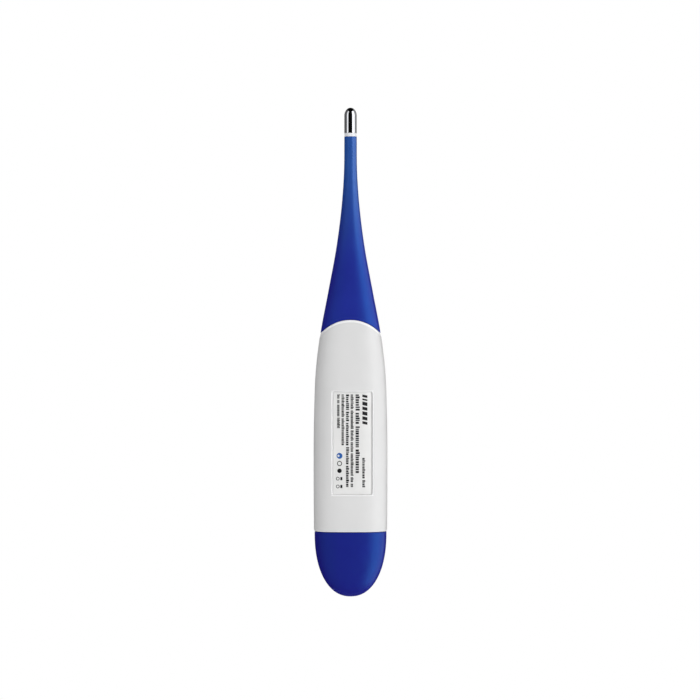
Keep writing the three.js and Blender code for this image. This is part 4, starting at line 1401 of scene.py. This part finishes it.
def world():
    """White to the camera. As a light it is grey, brighter from below, and it hardly shows in reflections."""
    made = bpy.data.worlds.new("studio")
    tree = NodeTree(made)
    white = (1, 1, 1, 1)
    tree.nodes["Background"].inputs["Color"].default_value = white
    up = tree.node("SeparateXYZ", {"Vector": tree.node("TexCoord")["Generated"]})["Z"]
    from_below = tree.mapped(up, SKY_BELOW, SKY_ABOVE, -1.0, 1.0)
    path = tree.node("LightPath")
    in_mirror = tree.mapped(path["Is Glossy Ray"], 1.0, SKY_IN_MIRRORS, 0.0, 1.0)
    strength = tree.node("Math", {0: from_below, 1: in_mirror}, operation="MULTIPLY")["Value"]
    soft = tree.node("Background", {"Color": white, "Strength": strength})["Background"]
    plain = tree.nodes["Background"].outputs["Background"]
    shown = tree.mixed_shader(path["Is Camera Ray"], soft, plain)
    tree.links.new(shown, tree.nodes["World Output"].inputs["Surface"])
    bpy.context.scene.world = made


def lights():
    """Long softboxes low at the sides, which also reach the underside, and two over the ends.

    Angles are in degrees round the length, from straight below. A box lights surfaces, shows in reflections,
    or both. The mirror-like cap has boxes of its own, and the others leave it out.
    """
    cap = bpy.data.objects["sensor_cap"]
    only_cap, not_cap = (bpy.data.collections.new(name) for name in ("mirror_cap", "all_but_the_cap"))
    for group, state in ((only_cap, "INCLUDE"), (not_cap, "EXCLUDE")):
        group.objects.link(cap)
        group.collection_objects[0].light_linking.link_state = state
    for name, side, low, high, strength, lights_surfaces, in_reflections in (
        ("low_key", 1, 36, 64, 1.85, True, True),
        ("side_key", 1, 64, 90, 0.2, True, False),
        ("side_sheen", 1, 62, 114, 1.35, False, True),
        ("low_fill", -1, 30, 64, 0.85, True, False),
        ("cap_right_glint", 1, 33, 82, 1.4, False, True),
        ("cap_edge_glint", 1, 84, 150, 0.28, False, True),
        ("cap_left_glint", -1, 42, 72, 0.95, False, True),
        ("cap_rim_glint", -1, 80, 150, 0.1, False, True),
    ):
        around = math.radians((low + high) / 2)
        z = AXIS_Z * MM - LIGHT_DISTANCE * math.cos(around)
        size = (LIGHT_LENGTH, 2 * LIGHT_DISTANCE * math.tan(math.radians((high - low) / 2)))
        location = (0, side * LIGHT_DISTANCE * math.sin(around), z)
        light = area_light(name, location, (0, 0, AXIS_Z * MM), size, strength)
        light.visible_diffuse = lights_surfaces
        light.visible_glossy = in_reflections
        light.light_linking.receiver_collection = only_cap if name.startswith("cap") else not_cap
    x, y, z = OVERHEAD
    tip = area_light("tip_overhead", (x, y, z), (0, 0, 0), OVERHEAD_SIZE, OVERHEAD_STRENGTH)
    tip.light_linking.receiver_collection = not_cap
    tail = area_light("tail_overhead", (-x, y, z), (0, 0, 0), OVERHEAD_SIZE, OVERHEAD_STRENGTH)
    tail.visible_glossy = False


def camera():
    """Square on to the back, from below, with the tip at the top of the picture."""
    data = bpy.data.cameras.new("view_of_the_back")
    made = bpy.data.objects.new("view_of_the_back", data)
    bpy.context.scene.collection.objects.link(made)
    data.lens = data.sensor_width * CAMERA_DISTANCE / PICTURE_SPAN
    data.clip_end = 20
    looking, up = Vector((0, 0, 1)), Vector((1, 0, 0))
    turn = Matrix((looking.cross(up), up, -looking)).transposed().to_4x4()
    made.matrix_world = Matrix.Translation(CAMERA_CENTRE - CAMERA_DISTANCE * looking) @ turn
    bpy.context.scene.camera = made


def colour_management():
    settings = bpy.context.scene.view_settings
    settings.view_transform = "Standard"
    settings.look = "None"


housing()
probe_skins()
sensor_cap()
battery_cover()
display()
power_button()
rating_label()
seal()
button_cell()
lead_wires()
finish_cad_nodes()
stage()
world()
lights()
camera()
colour_management()
